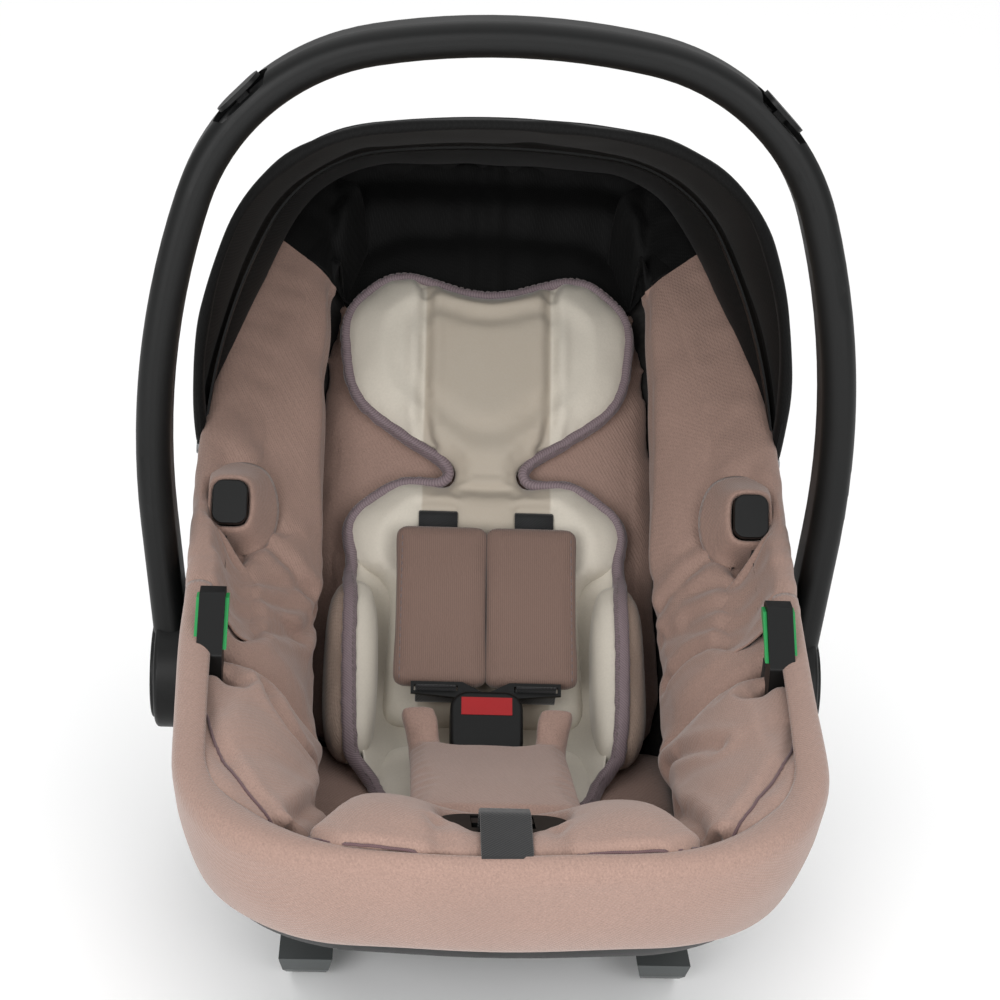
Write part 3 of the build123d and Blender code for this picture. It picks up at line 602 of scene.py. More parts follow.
def ribbed_cloth(name, tone):
    """Ribbed pad cloth: fine cords along the pad, darker between them."""
    finish, tree, surface = start_finish(name, 0.78, Sheen_Weight=0.2, Sheen_Roughness=0.5)
    where = add(tree, "TexCoord").outputs["Object"]
    rib = ribs(tree, where, 0.0013, "X", 0.4, Detail=1.0)
    dark = shaded(tone, 0.72)
    corded = blend_colours(tree, rib, dark, tone)
    shade = ramp(tree, cloud(tree, where, 700.0, 2.0), 0.0, 0.6)
    tone = blend_colours(tree, shade, corded, dark)
    wire(tree, surface, Base_Color=tone, Normal=relief(tree, rib, 0.4, 0.0006))
    return finish


def brushed_jersey(name, tone, painted_shade_tone, painted_shade_half):
    """Brushed jersey: pale knit with a nap, and a flatter middle band painted darker as painted shade behind the
    shoulder pads.
    """
    finish, tree, surface = start_finish(name, 0.75, Sheen_Weight=0.3, Sheen_Roughness=0.35)
    where = add(tree, "TexCoord").outputs["Object"]
    across = add(tree, "SeparateXYZ", {"Vector": where}).outputs["X"]
    half = add(tree, "Math", {0: across}, operation="ABSOLUTE").outputs[0]
    edge = 0.0008
    # The middle of the insert, behind the shoulder pads, is painted darker: painted shade
    inside = ramp(tree, half, 1.0, 0.0, painted_shade_half - edge, painted_shade_half + edge)
    nap = cloud(tree, where, 620.0, 4.0, Roughness=0.75)
    dark = shaded(tone, 0.72)
    knit = blend_colours(tree, inside, tone, painted_shade_tone)
    knit = blend_colours(tree, ramp(tree, nap, 0.0, 0.3, 0.3, 0.7), knit, dark)
    shade = ramp(tree, cloud(tree, where, 22.0, 3.0), 0.0, 0.25, 0.35, 0.75)
    knit = blend_colours(tree, shade, knit, dark)
    wire(tree, surface, Base_Color=knit, Normal=relief(tree, nap, 0.25, 0.0005))
    return finish


def twill_tape(name, tone, pitch=0.0014):
    """Twill tape: slanting ribs along the strip, seen on bindings and webbing."""
    finish, tree, surface = start_finish(name, 0.7, Sheen_Weight=0.25, Sheen_Roughness=0.4)
    place = add(tree, "TexCoord").outputs
    turned = add(tree, "Mapping", {"Vector": place["UV"], "Rotation": (0.0, 0.0, 0.7)}).outputs[0]
    rib = ribs(tree, turned, pitch, "Y", 0.3)
    dark = shaded(tone, 0.55)
    ribbed = blend_colours(tree, rib, dark, tone)
    shade = ramp(tree, cloud(tree, place["Object"], 400.0, 3.0), 0.0, 0.5)
    tone = blend_colours(tree, shade, ribbed, dark)
    wire(tree, surface, Base_Color=tone, Normal=relief(tree, rib, 0.35, 0.0004))
    return finish


def hood_cloth(name):
    """Thin black polyester: fine weave with a faint sheen where it is stretched."""
    finish, tree, surface = start_finish(
        name, 0.75, Sheen_Weight=0.03, Sheen_Roughness=0.4, Specular_IOR_Level=0.2)
    where = add(tree, "TexCoord").outputs["Object"]
    normal, height = weave(tree, where, 0.0015, (0.3, 0.2, 0.4), 0.25, 0.0004)
    tone = blend_colours(tree, height, linear("#030303"), linear("#0B0B0B"))
    wire(tree, surface, Base_Color=tone, Normal=normal)
    return finish


def grained_moulding(name, tone, roughness=0.46, grain=0.0011, depth=0.00018):
    """Moulded polypropylene: fine spark-eroded grain that breaks up the highlight."""
    finish, tree, surface = start_finish(name, roughness, Specular_IOR_Level=0.25)
    where = add(tree, "TexCoord").outputs["Object"]
    cells = cloud(tree, where, 1.0 / grain, 2.0, Roughness=0.6)
    patches = cloud(tree, where, 30.0, 3.0)
    wire(
        tree, surface, Base_Color=blend_colours(tree, patches, shaded(tone, 0.8), tone),
        Roughness=ramp(tree, patches, roughness - 0.05, roughness + 0.08), Normal=relief(tree, cells, 0.3, depth),
    )
    return finish


def plated_steel(name):
    """Zinc-plated steel: grey metal with a faint mottle."""
    finish, tree, surface = start_finish(name, 0.32, Metallic=1.0)
    where = add(tree, "TexCoord").outputs["Object"]
    spangle = cloud(tree, where, 160.0, 3.0)
    tone = blend_colours(tree, spangle, linear("#8C8F92"), linear("#C9CBCC"))
    wire(tree, surface, Base_Color=tone, Roughness=ramp(tree, spangle, 0.25, 0.42))
    return finish


def bead_foam(name):
    """Expanded bead foam painted charcoal: painted shade where it shows through gaps between the pads; beads a
    few millimetres across.
    """
    finish, tree, surface = start_finish(name, 0.85)
    where = add(tree, "TexCoord").outputs["Object"]
    beads = add(tree, "TexVoronoi", {"Vector": where, "Scale": 260.0}).outputs["Distance"]
    # Charcoal tones: painted shade for the gaps where the foam shows
    tone = blend_colours(tree, beads, linear("#2B2826"), linear("#171615"))
    wire(tree, surface, Base_Color=tone, Normal=relief(tree, beads, 0.4, 0.0008, invert=True))
    return finish


# Maker and values of each finish; a colour is a code or the name of a setting
FINISHES = {
    "taupe_melange": (woven_melange, "cover"),
    "taupe_ribbed": (ribbed_cloth, "#7D6459"),
    # A99E8F and 0.043 give painted shade down the middle of the insert, behind the shoulder pads
    "pale_jersey": (brushed_jersey, "insert", "#A99E8F", 0.043),
    "beige_twill": (woven_melange, "#9A8577"),
    "binding_twill": (twill_tape, "#86757A"),
    "sewing_thread": (twill_tape, "#8B7C7C", 0.0008),
    # Dark cord colour for the skirt's seam: painted shadow line
    "seam_thread": (twill_tape, "#6B4F52", 0.0008),
    "hood_polyester": (hood_cloth,),
    "black_webbing_polyester": (twill_tape, "#17181A"),
    "black_polypropylene": (grained_moulding, "plastic"),
    "grey_polypropylene": (grained_moulding, "#565959", 0.4),
    "red_abs": (grained_moulding, "#9E1015", 0.3, 0.004, 0.00004),
    "green_abs": (grained_moulding, "#2F9E56", 0.35, 0.003, 0.00006),
    "zinc_plated_steel": (plated_steel,),
    "bead_foam": (bead_foam,),
}


def finish_of(name):
    """A finish, made once."""
    if name in bpy.data.materials:
        return bpy.data.materials[name]
    colours = settings()[2]
    maker, *values = FINISHES[name]
    for i, value in enumerate(values):
        if isinstance(value, str):
            values[i] = linear(value) if value.startswith("#") else list(getattr(colours, value))
    return maker(name, *values)


# Rim of the shell, found on its own surface

def rim_spot(origin, way):
    """Top outer point of the rim seen along a level line, and the level way out of it."""
    y = origin[1]
    for _ in range(3):
        height = float(np.interp(y, *zip(*RIM))) - 0.004
        spot, normal, _, _ = shell_tree.ray_cast(Vector((*origin, height)), Vector((*way, 0)))
        y = spot.y
    out = Vector((normal.x, normal.y, 0)).normalized()
    inside = spot - out * 0.002
    top = shell_tree.ray_cast(Vector((inside.x, inside.y, 0.7)), Vector((0, 0, -1)))[0]
    return Vector((spot.x, spot.y, top.z)), out


def rim_run(end):
    """Rim points round the foot end, between y = end on the right and on the left."""
    centre, step = -0.1, 0.008
    spots = []
    for y in np.arange(end, centre, -step):
        spots.append(rim_spot((0.5, y), (-1, 0)))
    for turn in np.linspace(0, math.pi, 64):
        way = (math.cos(turn), -math.sin(turn))
        spots.append(rim_spot((way[0] * 0.6, centre + way[1] * 0.6), (-way[0], -way[1])))
    for y in np.arange(centre + step, end, step):
        spots.append(rim_spot((-0.5, y), (1, 0)))
    return spots


def arch(shape, steps=64):
    """Points of an arch of tangent arcs in a plane through the canopy's hinge, from left to right."""
    angle, top, arcs = shape
    spot, way, half = Vector((0, top)), 0.0, []
    for radius, turn in arcs:
        bend = math.radians(turn) / 40
        for _ in range(40):
            half.append((spot.x, spot.y, 0.0))
            ahead = Vector((math.cos(way - bend / 2), math.sin(way - bend / 2)))
            spot = spot + ahead * 2 * radius * math.sin(bend / 2)
            way -= bend
    half.append((spot.x, spot.y, 0.0))
    run = np.linalg.norm(np.diff(np.array(half), axis=0), axis=1).sum()
    half = resample(half, run / steps)
    line = np.concatenate([half[:0:-1] * (-1, 1, 1), half])
    a = math.radians(angle)
    return np.stack([
        line[:, 0], CANOPY_HINGE.y + line[:, 1] * math.cos(a), CANOPY_HINGE.z + line[:, 1] * math.sin(a),
    ], axis=1)


def blacken(piece):
    """Black hood cloth above the line where the cover's head end tucks under it, lower towards the middle."""
    piece.data.materials.append(finish_of("hood_polyester"))
    shape = bmesh.new()
    shape.from_mesh(piece.data)
    c, d = math.cos(BACK_TILT), math.sin(BACK_TILT)
    for _, way in SIDES:
        start = BIGHT + Vector((0.15 * way, 0.345 * c, 0.345 * d))
        slant = Vector((-0.56 * way, 0.83 * c, 0.83 * d))
        everything = shape.verts[:] + shape.edges[:] + shape.faces[:]
        bmesh.ops.bisect_plane(shape, geom=everything, plane_co=start, plane_no=slant)
        for face in shape.faces:
            centre = face.calc_center_median()
            if centre.x * way > 0 and (centre - start).dot(slant) > 0:
                face.material_index = 1
    shape.to_mesh(piece.data)
    shape.free()


def fitted(name, tree, origin, across, out, outline, rings, thick=0.001):
    """Ring of cloth on the smooth surface that passes nearest to a piece round a hole in it.

    outline gives the inner edge at an angle; rings are steps out from it, heights over that surface and
    how far each ring rises from it to the level of the origin.
    """
    above = out.cross(across)
    turns = np.linspace(0, 2 * math.pi, 48, endpoint=False)

    def spot(turn, gap):
        edge = outline(turn) + gap
        return edge * math.cos(turn), edge * math.sin(turn)

    def terms(u, v):
        return [1, u, v, u * u, u * v, v * v]

    found = []
    for turn in turns:
        for gap in np.linspace(0.75, 1.7, 4) * rings[-1][0]:
            u, v = spot(turn, gap)
            hit = tree.ray_cast(origin + across * u + above * v + out * 0.05, -out, 0.08)[0]
            if hit is not None:
                found.append((u, v, (hit - origin).dot(out)))
    middle = np.median([f[2] for f in found])
    found = [f for f in found if abs(f[2] - middle) < 0.012]
    heights = np.array([f[2] for f in found])
    fit = np.linalg.lstsq(np.array([terms(u, v) for u, v, _ in found]), heights, rcond=None)[0]
    points = []
    for gap, lift, share in rings:
        for turn in turns:
            u, v = spot(turn, gap)
            level = float(np.clip(np.dot(fit, terms(u, v)), heights.min(), heights.max()))
            points.append(origin + across * u + above * v + out * ((1 - share) * level + lift))
    ring = new_piece(name, points, grid(len(rings), len(turns), loop=True))
    return smooth(thicken(divide(ring), thick))


class CARRIER_OT_cover(bpy.types.Operator):
    """Padded cover: wings, arms, front roll, back and seat"""
    bl_idname = "carrier.cover"
    bl_label = "Cover"

    def execute(self, context):
        cover, _, _ = settings()
        plugs = []
        for side, way in SIDES:
            # The pads' hole for the end of the canopy's pivot is closed by a plug
            tree = tree_of(frame["nodes"][f"wing_pad_{side}"])
            centre = mirrored(PIVOT_SPOT, way)
            out = Vector((0, 0, 0))
            for y, z in ((0.024, 0.01), (-0.024, -0.01), (-0.012, 0.022), (0.012, -0.022)):
                out += tree.find_nearest(centre + Vector((0, y, z)))[1]
            out.normalize()
            across = Vector((0, 1, 0)).cross(out).normalized()
            rings = [(gap, -0.005, 0) for gap in (0.0005, 0.005, 0.01, 0.0145, 0.018)]
            plugs.append(fitted(f"plug_{side}", tree, centre, across, out, lambda turn: 0.0, rings, 0.01))
        back = pad(
            "cover_back", ["wing_pad_left", "wing_pad_right", "back_pad"], relaxing=8, plugs=plugs,
            cap=lambda spots: np.interp(np.abs(spots[:, 0]), [0.1, 0.125], [0.002, cover.swell]),
            soft=lambda spots: np.interp(np.abs(spots[:, 0]), [0.128, 0.15], [1, 0]),
        )
        wrinkle(back, cover.wrinkle, (0.05, 0.028, 0.06), 1, lambda spots: np.abs(spots[:, 0]) > WING_START)
        settle(back, "taupe_fabric", "taupe_melange", "wing_pad_left", "wing_pad_right", "back_pad", fill=0.6)
        pieces = [back]
        for side, way in SIDES:
            arm = pad(f"cover_arm_{side}", [f"arm_pad_{side}"])
            wrinkle(arm, cover.wrinkle, (0.05, 0.03, 0.05), 3 if way > 0 else 4)
            settle(arm, "taupe_fabric", "taupe_melange", f"arm_pad_{side}", fill=0.6)
            pieces.append(arm)
        front = pad("cover_front", ["front_pad"])
        wrinkle(front, cover.wrinkle * 0.7, (0.03, 0.06, 0.05), 5)
        settle(front, "taupe_fabric", "taupe_melange", "front_pad", fill=0.6)
        pieces.append(front)
        for piece in pieces:
            tree = tree_of(piece)
            crease(piece, np.array(SEAM) / 1e3, 0.003, 0.004, tree)
            for depth, path in FOLDS:
                crease(piece, np.array(path) / 1e3, depth / 1e3, 0.005, tree)
        tree = tree_of(back)
        for side, way in SIDES:
            # Cloth round a side button, up to its outline
            wide, high = BUTTON_HALF
            ring = fitted(
                f"button_surround_{side}", tree, mirrored(BUTTON_SPOT, way), Vector((1, 0, 0)), BUTTON_FACE,
                lambda turn: (abs(math.cos(turn) / wide) ** 4 + abs(math.sin(turn) / high) ** 4) ** -0.25,
                [(0.0008, -0.009, 1), (0.001, -0.003, 1), (0.003, -0.002, 1), (0.006, -0.0015, 0.8),
                 (0.01, -0.0005, 0.45), (0.014, 0.0002, 0.15), (0.018, -0.002, 0)],
            )
            # The ring ends at the rim
            spots = places(ring)
            spots[:, 0] = np.clip(spots[:, 0] * way, 0, SURROUND_LIMIT) * way
            put(ring, spots)
            settle(ring, "taupe_fabric", "taupe_melange", fill=0.2)
        blacken(back)
        piece = pad("cover_seat", ["seat_pad"], voxel=0.006, pressure=1.0, cap=0.002)
        settle(piece, "taupe_fabric", "taupe_melange", "seat_pad", fill=0.4)
        return {"FINISHED"}


class CARRIER_OT_rim(bpy.types.Operator):
    """Skirt round the foot end, rim wraps and a dark cord along the skirt's seam, which is a painted shadow line
    """
    bl_idname = "carrier.rim"
    bl_label = "Rim and skirt"

    def execute(self, context):
        cover, _, _ = settings()
        spots = rim_run(-0.042)
        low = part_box("front_fascia")[0].z
        rows = 14
        points = []
        for spot, out in spots:
            # The seam to the pads lies further in at the corners than at the front
            inset = np.interp(abs(spot.x), [0, 0.06, 0.12, 0.15, 0.175, 0.19], [6, 7, 15, 17, 13, 12])
            inset = float(inset) / 1e3
            over = [
                (-inset, 0.0022), (-0.75 * inset, 0.0044), (-0.4 * inset, 0.0056), (0, 0.0048), (0.0028, 0.0024),
            ]
            points += [spot + out * t + Vector((0, 0, u)) for t, u in over]
            for row in range(rows + 1):
                height = spot.z - 0.003 + (low - spot.z + 0.003) * row / rows
                hit = shell_tree.ray_cast(Vector((spot.x, spot.y, height)) + out * 0.3, -out)[0]
                tuck = 0.006 * max(0.0, row / rows - 0.93) / 0.07
                points.append(Vector((hit.x, hit.y, height)) + out * (cover.skirt_gap + 0.0012 - tuck))
        rows += 1 + len(over)
        skirt = divide(new_piece("front_skirt", points, grid(len(spots), rows)))
        wrinkle(skirt, 0.0012, (0.09, 0.09, 0.03), 6)
        thicken(skirt, 0.002)
        settle(smooth(skirt), "taupe_fabric", "taupe_melange", "front_fascia", fill=0.2)
        # The seam lies on the arms at the sides and where the front roll meets the skirt at the front; the dark
        # cord laid along it is a painted shadow line.
        arms = ("cover_arm_right", "cover_arm_left")
        pads = tree_of(*arms, "cover_front")
        top = tree_of(skirt)
        front = []
        for spot, out in spots:
            if abs(spot.x) < 0.1 and spot.y < -0.2:
                for reach in np.arange(0.0, 0.04, 0.0005):
                    start = Vector((spot.x, spot.y, 0.4)) - out * reach
                    roll, cloth_top = pads.ray_cast(start, DOWN)[0], top.ray_cast(start, DOWN)[0]
                    if roll and (cloth_top is None or roll.z > cloth_top.z):
                        front.append(roll)
                        break
        sewn = np.array(SEAM) / 1e3
        right, _ = lay(resample(eased(sewn[:5]), 0.003), pads)
        left, _ = lay(resample(eased(sewn[-4:]), 0.003), pads)
        seam = resample(np.concatenate([right, np.array(front), left]), 0.003)
        for _ in range(4):
            seam[1:-1] = 0.5 * seam[1:-1] + 0.25 * (seam[:-2] + seam[2:])
        seam, ups = lay(seam, tree_of(skirt, *arms, "cover_front"), 0.0003)
        # Dark cord along the seam: painted shadow line
        shadow_cord = sweep("skirt_seam", seam, ups, oval(cover.shadow_cord, cover.shadow_cord, 8))
        settle(shadow_cord, "dark_taupe_fabric", "seam_thread")
        pads = tree_of("cover_back", *arms)
        wrap = [
            (0.002, 0.0034), (0.0032, 0.0), (0.0036, -0.004), (0.0036, -0.010), (0.003, -0.017), (0.0012, -0.019),
        ]
        inner = [1.0, 0.85, 0.68, 0.52, 0.38, 0.26, 0.16, 0.07]
        for side, way in SIDES:
            points = []
            for y in np.arange(WRAP_HEAD, WRAP_FOOT, -0.006):
                spot, out = rim_spot((0.5 * way, y), (-way, 0))
                rise = 0.006 * min(1.0, max(0.0, (spot.y - 0.08) / 0.07)) - 0.0015 * (y < -0.045)
                # The wrap runs out on the wing, sooner beside the button
                beside = max(0.0, 1 - (abs(y - BUTTON_PASS) / BUTTON_CLEAR) ** 4)
                depth = WRAP_DEPTH - 0.0285 * beside
                for share in inner:
                    place = spot - out * depth * share
                    height = spot.z + rise + 0.0068 * (1 - share ** 2) - 0.006 * share
                    hit = pads.ray_cast(Vector((place.x, place.y, 0.6)), DOWN)[0]
                    if hit is not None and hit.z > spot.z - 0.06:
                        rim = min(1.0, max(0.0, (0.72 - share) / 0.5))
                        height = rim * height + (1 - rim) * (hit.z + (0.0008 if share < 0.9 else -0.004))
                    points.append(Vector((place.x, place.y, height)))
                points += [spot + out * t + Vector((0, 0, u + (rise if u > 0.002 else 0))) for t, u in wrap]
            n = len(inner) + len(wrap)
            piece = divide(new_piece(f"rim_wrap_{side}", points, grid(len(points) // n, n)), 2)
            wrinkle(piece, 0.0009, (0.02, 0.012, 0.02), 8)
            thicken(piece, 0.0012)
            settle(smooth(piece), "taupe_fabric", "taupe_melange", fill=0.2)
            blacken(piece)
        return {"FINISHED"}


class CARRIER_OT_insert(bpy.types.Operator):
    """Newborn insert: liner, hip bolsters and binding"""
    bl_idname = "carrier.insert"
    bl_label = "Newborn insert"

    def underlay(self):
        """Jersey behind the insert's middle, hung from the binding at the hips."""
        under = tree_of("cover_back", "cover_seat")
        columns = np.linspace(-88, 88, 45)
        points = []
        for x in columns:
            hung = min(1.0, max(0.0, (abs(x) - 54) / 34)) ** 1.8
            for s in np.arange(150, 5, -10):
                hit = under.ray_cast(on_back(x, s, 120), -BACK_OUT)[0]
                edge = float(np.interp(s, [5, 40, 80, 98, 112, 135, 150], [52, 44, 33, 20, 14, 11, 9])) / 1e3
                low = (hit - on_back(0, s, 0)).dot(BACK_OUT)
                points.append(hit + BACK_OUT * (0.002 + hung * max(0.0, edge - low)))
            for y in np.arange(-0.008, -0.082, -0.009):
                inside = x / 1e3 * float(np.interp(y, [-0.082, -0.07, -0.05, 0], [0.5, 0.72, 0.84, 0.93]))
                hit = under.ray_cast(Vector((inside, y, 0.3)), DOWN)[0]
                points.append(hit + Vector((0, 0, 0.002 + 0.025 * hung * max(0.0, 1 + y / 0.06))))
        rows = len(points) // len(columns)
        cloth = new_piece("insert_underlay", points, grid(len(columns), rows))
        thicken(divide(relax(cloth, 4)), 0.0012)
        settle(smooth(cloth), "pale_fabric", "pale_jersey", fill=0.3)

    def execute(self, context):
        _, trim, _ = settings()
        bpy.ops.mesh.primitive_cube_add(size=1)
        neck = context.active_object
        neck.name = "neck"
        spot = on_back(0, 176, 9)
        size = Matrix.Diagonal((0.044, 0.034, 0.014, 1))
        neck.data.transform(Matrix.Translation(spot) @ Matrix.Rotation(BACK_TILT, 4, "X") @ size)
        liner = cad_copy("insert_liner", "insert_head", "insert_body", "insert_seat")
        join(liner, neck)
        relax(rebuild(liner, 0.004), 8)
        swell(liner, 4.0, 0.005)
        divide(liner)
        for _, way in SIDES:
            crease(liner, [on_back(43 * way, 195 + 13 * i, 21.5) for i in range(12)], 0.004, 0.004)
        settle(smooth(liner), "pale_fabric", "pale_jersey", "insert_head", "insert_body", "insert_seat", fill=0.6)
        bolsters = []
        for side, way in SIDES:
            bolster = pad(f"insert_side_{side}", [f"insert_bolster_{side}"], voxel=0.004, cap=0.005)
            settle(bolster, "pale_fabric", "pale_jersey", f"insert_bolster_{side}", fill=0.8)
            bolster.data.materials.append(finish_of("beige_twill"))
            for face in bolster.data.polygons:
                if face.center.x * way > 0.088 and face.normal.x * way > -0.35:
                    face.material_index = 1
            bolsters.append(bolster)
        self.underlay()
        tree = tree_of(liner, *bolsters)
        # Right half of the binding's loop, from the top of the head down to the hips and the seat
        half = [on_back(*spot) for spot in (
            (0, 320, 10), (50, 329, 10), (76, 330, 10), (98, 312, 10), (104, 296, 10), (99, 262, 10),
            (90, 236, 10), (60, 212, 10), (32, 194, 12), (22, 184, 12), (26, 178, 13), (50, 179, 13),
            (78, 171, 13), (96, 155, 13), (97, 135, 15), (92, 112, 18), (88, 98, 24), (88, 80, 38),
            (88, 40, 48), (87, 5, 56), (85, -18, 48),
        )]
        half += [Vector((0.082, -0.05, 0.09)), Vector((0.071, -0.074, 0.087)), Vector((0.045, -0.086, 0.084))]
        loop = half + [mirrored(p, -1) for p in half[:0:-1]]
        path = resample(eased(loop, True), 0.004, True)
        path, normals = lay(path, tree, 0.0012)
        for _ in range(6):
            path = 0.5 * path + 0.25 * (np.roll(path, 1, 0) + np.roll(path, -1, 0))
            normals = 0.5 * normals + 0.25 * (np.roll(normals, 1, 0) + np.roll(normals, -1, 0))
        binding = sweep("insert_binding", path, normals, oval(trim.binding, 0.0036, 12, 0.8), closed=True)
        wrinkle(binding, 0.0008, (0.004, 0.004, 0.004), 11)
        settle(binding, "dark_taupe_fabric", "binding_twill")
        ahead = np.roll(path, -1, 0) - np.roll(path, 1, 0)
        side = np.cross(ahead, normals)
        side /= np.linalg.norm(side, axis=1)[:, None]
        row = path + side * 0.0028 + normals / np.linalg.norm(normals, axis=1)[:, None] * 0.0032
        thread = stitches("binding_stitches", row, normals, True)
        settle(thread, "dark_taupe_fabric", "sewing_thread")
        return {"FINISHED"}


class CARRIER_OT_harness(bpy.types.Operator):
    """Harness: webbing, shoulder pads and crotch pad"""
    bl_idname = "carrier.harness"
    bl_label = "Harness"

    def execute(self, context):
        _, trim, _ = settings()
        half = trim.webbing / 2

        def flat(width):
            edge = width / 2
            return [
                (-edge, 0), (-edge + 0.0006, half), (edge - 0.0006, half), (edge, 0),
                (edge - 0.0006, -half), (-edge + 0.0006, -half),
            ]

        def webbing(name, route, x, width, *nodes):
            path = []
            line = [Vector((x, y / 1e3, z / 1e3)) for y, z in route]
            for a, b in zip(line, line[1:]):
                reach = min(0.006, (b - a).length * 0.4) / (b - a).length
                path += [a, a.lerp(b, reach), a.lerp(b, 1 - reach)]
            path = eased(path + [line[-1]])
            keep = [0] + [i for i in range(1, len(path)) if np.linalg.norm(path[i] - path[i - 1]) > 1e-6]
            path = resample(path[keep], 0.002)
            ahead = np.gradient(path, axis=0)
            ups = np.cross(np.array([1.0, 0, 0]), ahead)
            strap = sweep(name, path, ups / np.linalg.norm(ups, axis=1)[:, None], flat(width))
            settle(strap, "black_webbing", "black_webbing_polyester", *nodes)

        def spot(s, h):
            p = on_back(0, s, h) * 1e3
            return p.y, p.z

        route = [spot(*at) for at in ((102, -66), (145, -66), (153, -55), (153, 24), (142, 25.2), (18, 38.4))]
        route.append((-2, 133))
        for side, way in SIDES:
            webbing(f"shoulder_webbing_{side}", route, 0.032 * way, 0.026, f"shoulder_strap_{side}")
        route = [(-35, 105.4), (-50, 95.4), (-87, 94.4), (-92, 86), (-92, 45.5)]
        webbing("crotch_webbing", route, 0, 0.026, "crotch_strap")
        webbing("adjuster_webbing", [
            spot(114, -70), spot(96, -70), (121, 78), (86, 42.4), (-103, 42.4), (-236, 130), (-256, 152),
            (-250.8, 173.5), (-251.5, 187), (-264, 191), (-286, 189), (-303, 187),
        ], 0, 0.027, "adjuster_strap")
        for side, way in SIDES:
            sleeve = pad(f"strap_sleeve_{side}", [f"shoulder_pad_{side}"], voxel=0.0026, cap=0.0008, relaxing=3)
            spots = places(sleeve)
            spots[:, 0] = 0.0295 * way + (spots[:, 0] - 0.03 * way) * 1.12
            put(sleeve, spots)
            settle(sleeve, "dark_taupe_fabric", "taupe_ribbed", f"shoulder_pad_{side}", fill=0.6)
            # A row of stitches down the outer edge
            along = (spots - np.array(BIGHT)) @ np.array(BACK_UP) * 1e3
            edge = (np.abs(spots[:, 0]).max() - 0.004) * 1e3 * way
            tree = tree_of(sleeve)
            steps = np.linspace(along.min() + 5, along.max() - 5, 40)
            hits = [tree.ray_cast(on_back(edge, a, 150), -BACK_OUT) for a in steps]
            hits = [hit for hit in hits if hit[0] is not None]
            row = stitches(f"sleeve_stitches_{side}", [hit[0] for hit in hits], [hit[1] for hit in hits])
            settle(row, "dark_taupe_fabric", "sewing_thread")
        flap = pad("crotch_flap", ["crotch_pad"], voxel=0.0035, cap=0.003, relaxing=10)
        spots = places(flap)
        ear = np.clip((spots[:, 1] - spots[:, 1].max() + 0.035) / 0.035, 0, 1)
        spots[:, 0] = spots[:, 0] * 1.1 + np.sign(spots[:, 0]) * 0.006 * ear ** 2
        put(flap, spots)
        settle(flap, "taupe_fabric", "taupe_melange", "crotch_pad", fill=0.5)
        return {"FINISHED"}


class CARRIER_OT_canopy(bpy.types.Operator):
    """Canopy cloth over its bows, and the lining of the shell's head end"""
    bl_idname = "carrier.canopy"
    bl_label = "Canopy"

    def lining(self):
        """Cloth from the rim down over the pads, to just above the head cushion."""
        backing = tree_of(frame["nodes"]["shell"], frame["nodes"]["foam_liner"], "cover_back")
        columns, rows = np.linspace(-130, 130, 57), 22
        points = []
        for x in columns:
            high = 430
            while backing.ray_cast(on_back(x, high, 180), -BACK_OUT, 0.21)[0] is None:
                high -= 2
            low = float(np.interp(abs(x), [0, 92, 106, 130], [306, 306, 316, 330]))
            for s in np.linspace(low, high, rows):
                hit = backing.ray_cast(on_back(x, s, 180), -BACK_OUT)[0]
                points.append(hit + BACK_OUT * 0.003)
        cloth = relax(new_piece("head_lining", points, grid(len(columns), rows)), 4)
        # Gathers run down from the elastic at the upper edge
        spots = places(cloth)
        fold = 0.002 + 0.002 * np.sin(spots[:, 0] / 0.0045 + 1.5 * np.sin(spots[:, 0] / 0.017))
        fold *= np.clip(1 - np.abs(spots[:, 0]) / 0.11, 0, 1)
        put(cloth, spots + np.outer(fold, np.array(BACK_OUT)))
        return smooth(thicken(divide(cloth), 0.001))

    def execute(self, context):
        rear, mid, front = arch(REAR_ARCH), arch(MID_ARCH), arch(FRONT_ARCH)
        inward = np.array(CANOPY_HINGE) - front
        inward[:, 0] = -0.9 * front[:, 0]
        inward /= np.linalg.norm(inward, axis=1)[:, None]
        slack = np.clip((front[:, 2] - CANOPY_HINGE.z) / 0.14, 0, 1)[:, None]
        a = math.radians(FRONT_ARCH[0])
        ahead = np.array([0.0, -math.sin(a), math.cos(a)])
        rows = [rear + (0, -0.001, -0.016), rear + (0, 0.0005, -0.008)]
        for t in np.linspace(0, 1, 22)[:-1]:
            rows.append(rear + (mid - rear) * t + inward * slack * REAR_SAG * math.sin(math.pi * t) ** 0.8)
        for t in np.linspace(0, 1, 20):
            rows.append(mid + (front - mid) * t + inward * slack * FRONT_SAG * math.sin(math.pi * t) ** 0.8)
        # The hem turns in round the front bow and is sewn down behind it
        for forward, deep in (
            (0.0016, 0.0006), (0.0028, 0.0022), (0.003, 0.0042), (0.0022, 0.0058), (-0.002, 0.0066),
            (-0.007, 0.0064), (-0.0105, 0.0052), (-0.012, 0.0038),
        ):
            rows.append(front + ahead * forward + inward * deep)
        n = len(front)
        hood = new_piece("canopy_hood", np.concatenate(rows), grid(len(rows), n))
        wrinkle(hood, 0.0016, (0.03, 0.05, 0.06), 9)
        thicken(hood, 0.001)
        settle(smooth(hood), "black_fabric", "hood_polyester", "canopy_fabric", body=None)
        lining = self.lining()
        settle(lining, "black_fabric", "hood_polyester")
        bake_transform(hood)
        return {"FINISHED"}


class CARRIER_OT_mouldings(bpy.types.Operator):
    """Finishes of the hard parts"""
    bl_idname = "carrier.mouldings"
    bl_label = "Mouldings and metal"

    def execute(self, context):
        finishes = {
            "black_plastic": "black_polypropylene", "grey_plastic": "grey_polypropylene", "foam": "bead_foam",
            "steel": "zinc_plated_steel", "red_plastic": "red_abs", "green_plastic": "green_abs",
        }
        for part in frame["record"]["subparts"]:
            node = frame["nodes"][part["node"]]
            if part["material_slot"] in finishes:
                node.data.materials.clear()
                node.data.materials.append(finish_of(finishes[part["material_slot"]]))
        return {"FINISHED"}


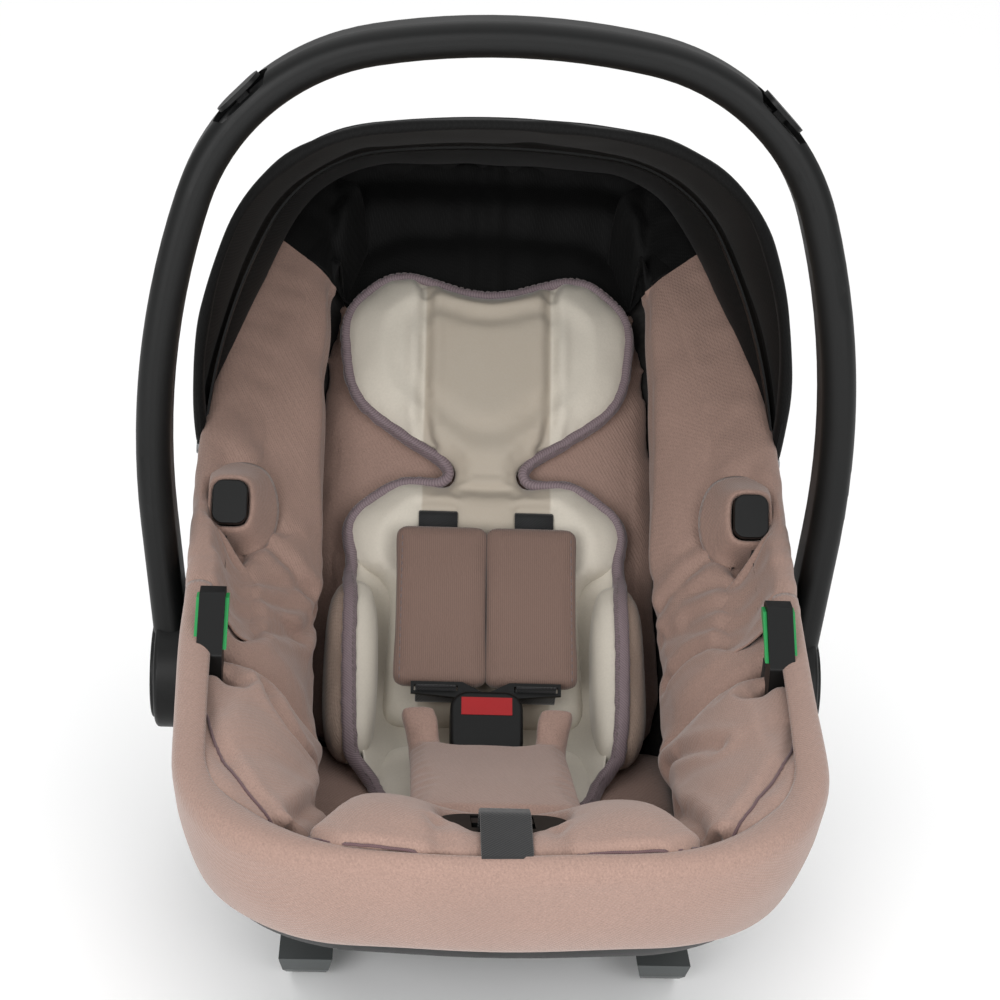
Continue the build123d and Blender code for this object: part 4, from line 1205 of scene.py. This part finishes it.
class CARRIER_OT_stage(bpy.types.Operator):
    """Pale floor, soft lights and the camera"""
    bl_idname = "carrier.stage"
    bl_label = "Stage"

    def execute(self, context):
        scene = context.scene
        deselect()
        bpy.ops.mesh.primitive_plane_add(size=12, location=(0, 0, -0.0005))
        floor = context.active_object
        floor.name = "floor"
        paint, _, surface = start_finish("matt_floor_paint", 0.9)
        surface.inputs["Base Color"].default_value = linear("#FAFAFA")
        floor.data.materials.append(paint)
        world = bpy.data.worlds.new("soft_room")
        scene.world = world
        world.use_nodes = True
        glow = world.node_tree.nodes["Background"].inputs
        glow["Color"].default_value = linear("#FFFFFF")
        glow["Strength"].default_value = ROOM_LIGHT
        scene.view_settings.view_transform = "Standard"
        for name, place, size, power in LAMPS:
            light = bpy.data.lights.new(name, "AREA")
            light.size = size
            light.energy = power
            lamp = bpy.data.objects.new(name, light)
            scene.collection.objects.link(lamp)
            lamp.location = place
            lamp.rotation_mode = "QUATERNION"
            lamp.rotation_quaternion = (Vector((0, 0, 0.25)) - lamp.location).to_track_quat("-Z", "Y")
        sky = bpy.data.lights.new("overhead", "SUN")
        sky.energy = OVERHEAD_LIGHT
        sky.angle = math.radians(90)
        lamp = bpy.data.objects.new("overhead", sky)
        scene.collection.objects.link(lamp)
        lamp.rotation_euler = (math.radians(-14), 0, 0)
        azimuth, elevation, roll = map(math.radians, (PHOTO_AZIMUTH, PHOTO_ELEVATION, PHOTO_ROLL))
        level = math.cos(elevation)
        away = Vector((math.sin(azimuth) * level, -math.cos(azimuth) * level, math.sin(elevation)))
        right = Vector((0, 0, 1)).cross(away).normalized()
        up = away.cross(right)
        across = right * math.cos(roll) + up * math.sin(roll)
        above = up * math.cos(roll) - right * math.sin(roll)
        lens = bpy.data.cameras.new("photo_lens")
        lens.sensor_width = 36.0
        lens.lens = PHOTO_LENS
        camera = bpy.data.objects.new("photo_camera", lens)
        scene.collection.objects.link(camera)
        turn = Matrix((across, above, away)).transposed().to_4x4()
        camera.matrix_world = Matrix.Translation(PHOTO_TARGET + away * PHOTO_DISTANCE) @ turn
        scene.camera = camera
        return {"FINISHED"}


class CARRIER_PT_panel(bpy.types.Panel):
    """Lists the carrier's pieces"""
    bl_idname = "CARRIER_PT_panel"
    bl_label = "Infant carrier"
    bl_space_type = "VIEW_3D"
    bl_region_type = "UI"
    bl_category = "Carrier"

    def draw(self, context):
        for operator in OPERATORS:
            self.layout.operator(operator.bl_idname)


OPERATORS = (
    CARRIER_OT_stage, CARRIER_OT_mouldings, CARRIER_OT_cover, CARRIER_OT_rim, CARRIER_OT_insert,
    CARRIER_OT_harness, CARRIER_OT_canopy,
)
GROUPS = {"carrier_cover": CoverSizes, "carrier_trim": TrimSizes, "carrier_colours": Colours}


def register():
    for kind in (*GROUPS.values(), *OPERATORS, CARRIER_PT_panel):
        bpy.utils.register_class(kind)
    for name, kind in GROUPS.items():
        setattr(bpy.types.Scene, name, PointerProperty(type=kind))


def unregister():
    for name in GROUPS:
        delattr(bpy.types.Scene, name)
    for kind in (CARRIER_PT_panel, *OPERATORS[::-1], *GROUPS.values()):
        bpy.utils.unregister_class(kind)


def main():
    register()
    bpy.ops.carrier.stage()
    bpy.ops.carrier.mouldings()
    bpy.ops.carrier.cover()
    bpy.ops.carrier.rim()
    bpy.ops.carrier.insert()
    bpy.ops.carrier.harness()
    bpy.ops.carrier.canopy()


if __name__ == "__main__":
    main()
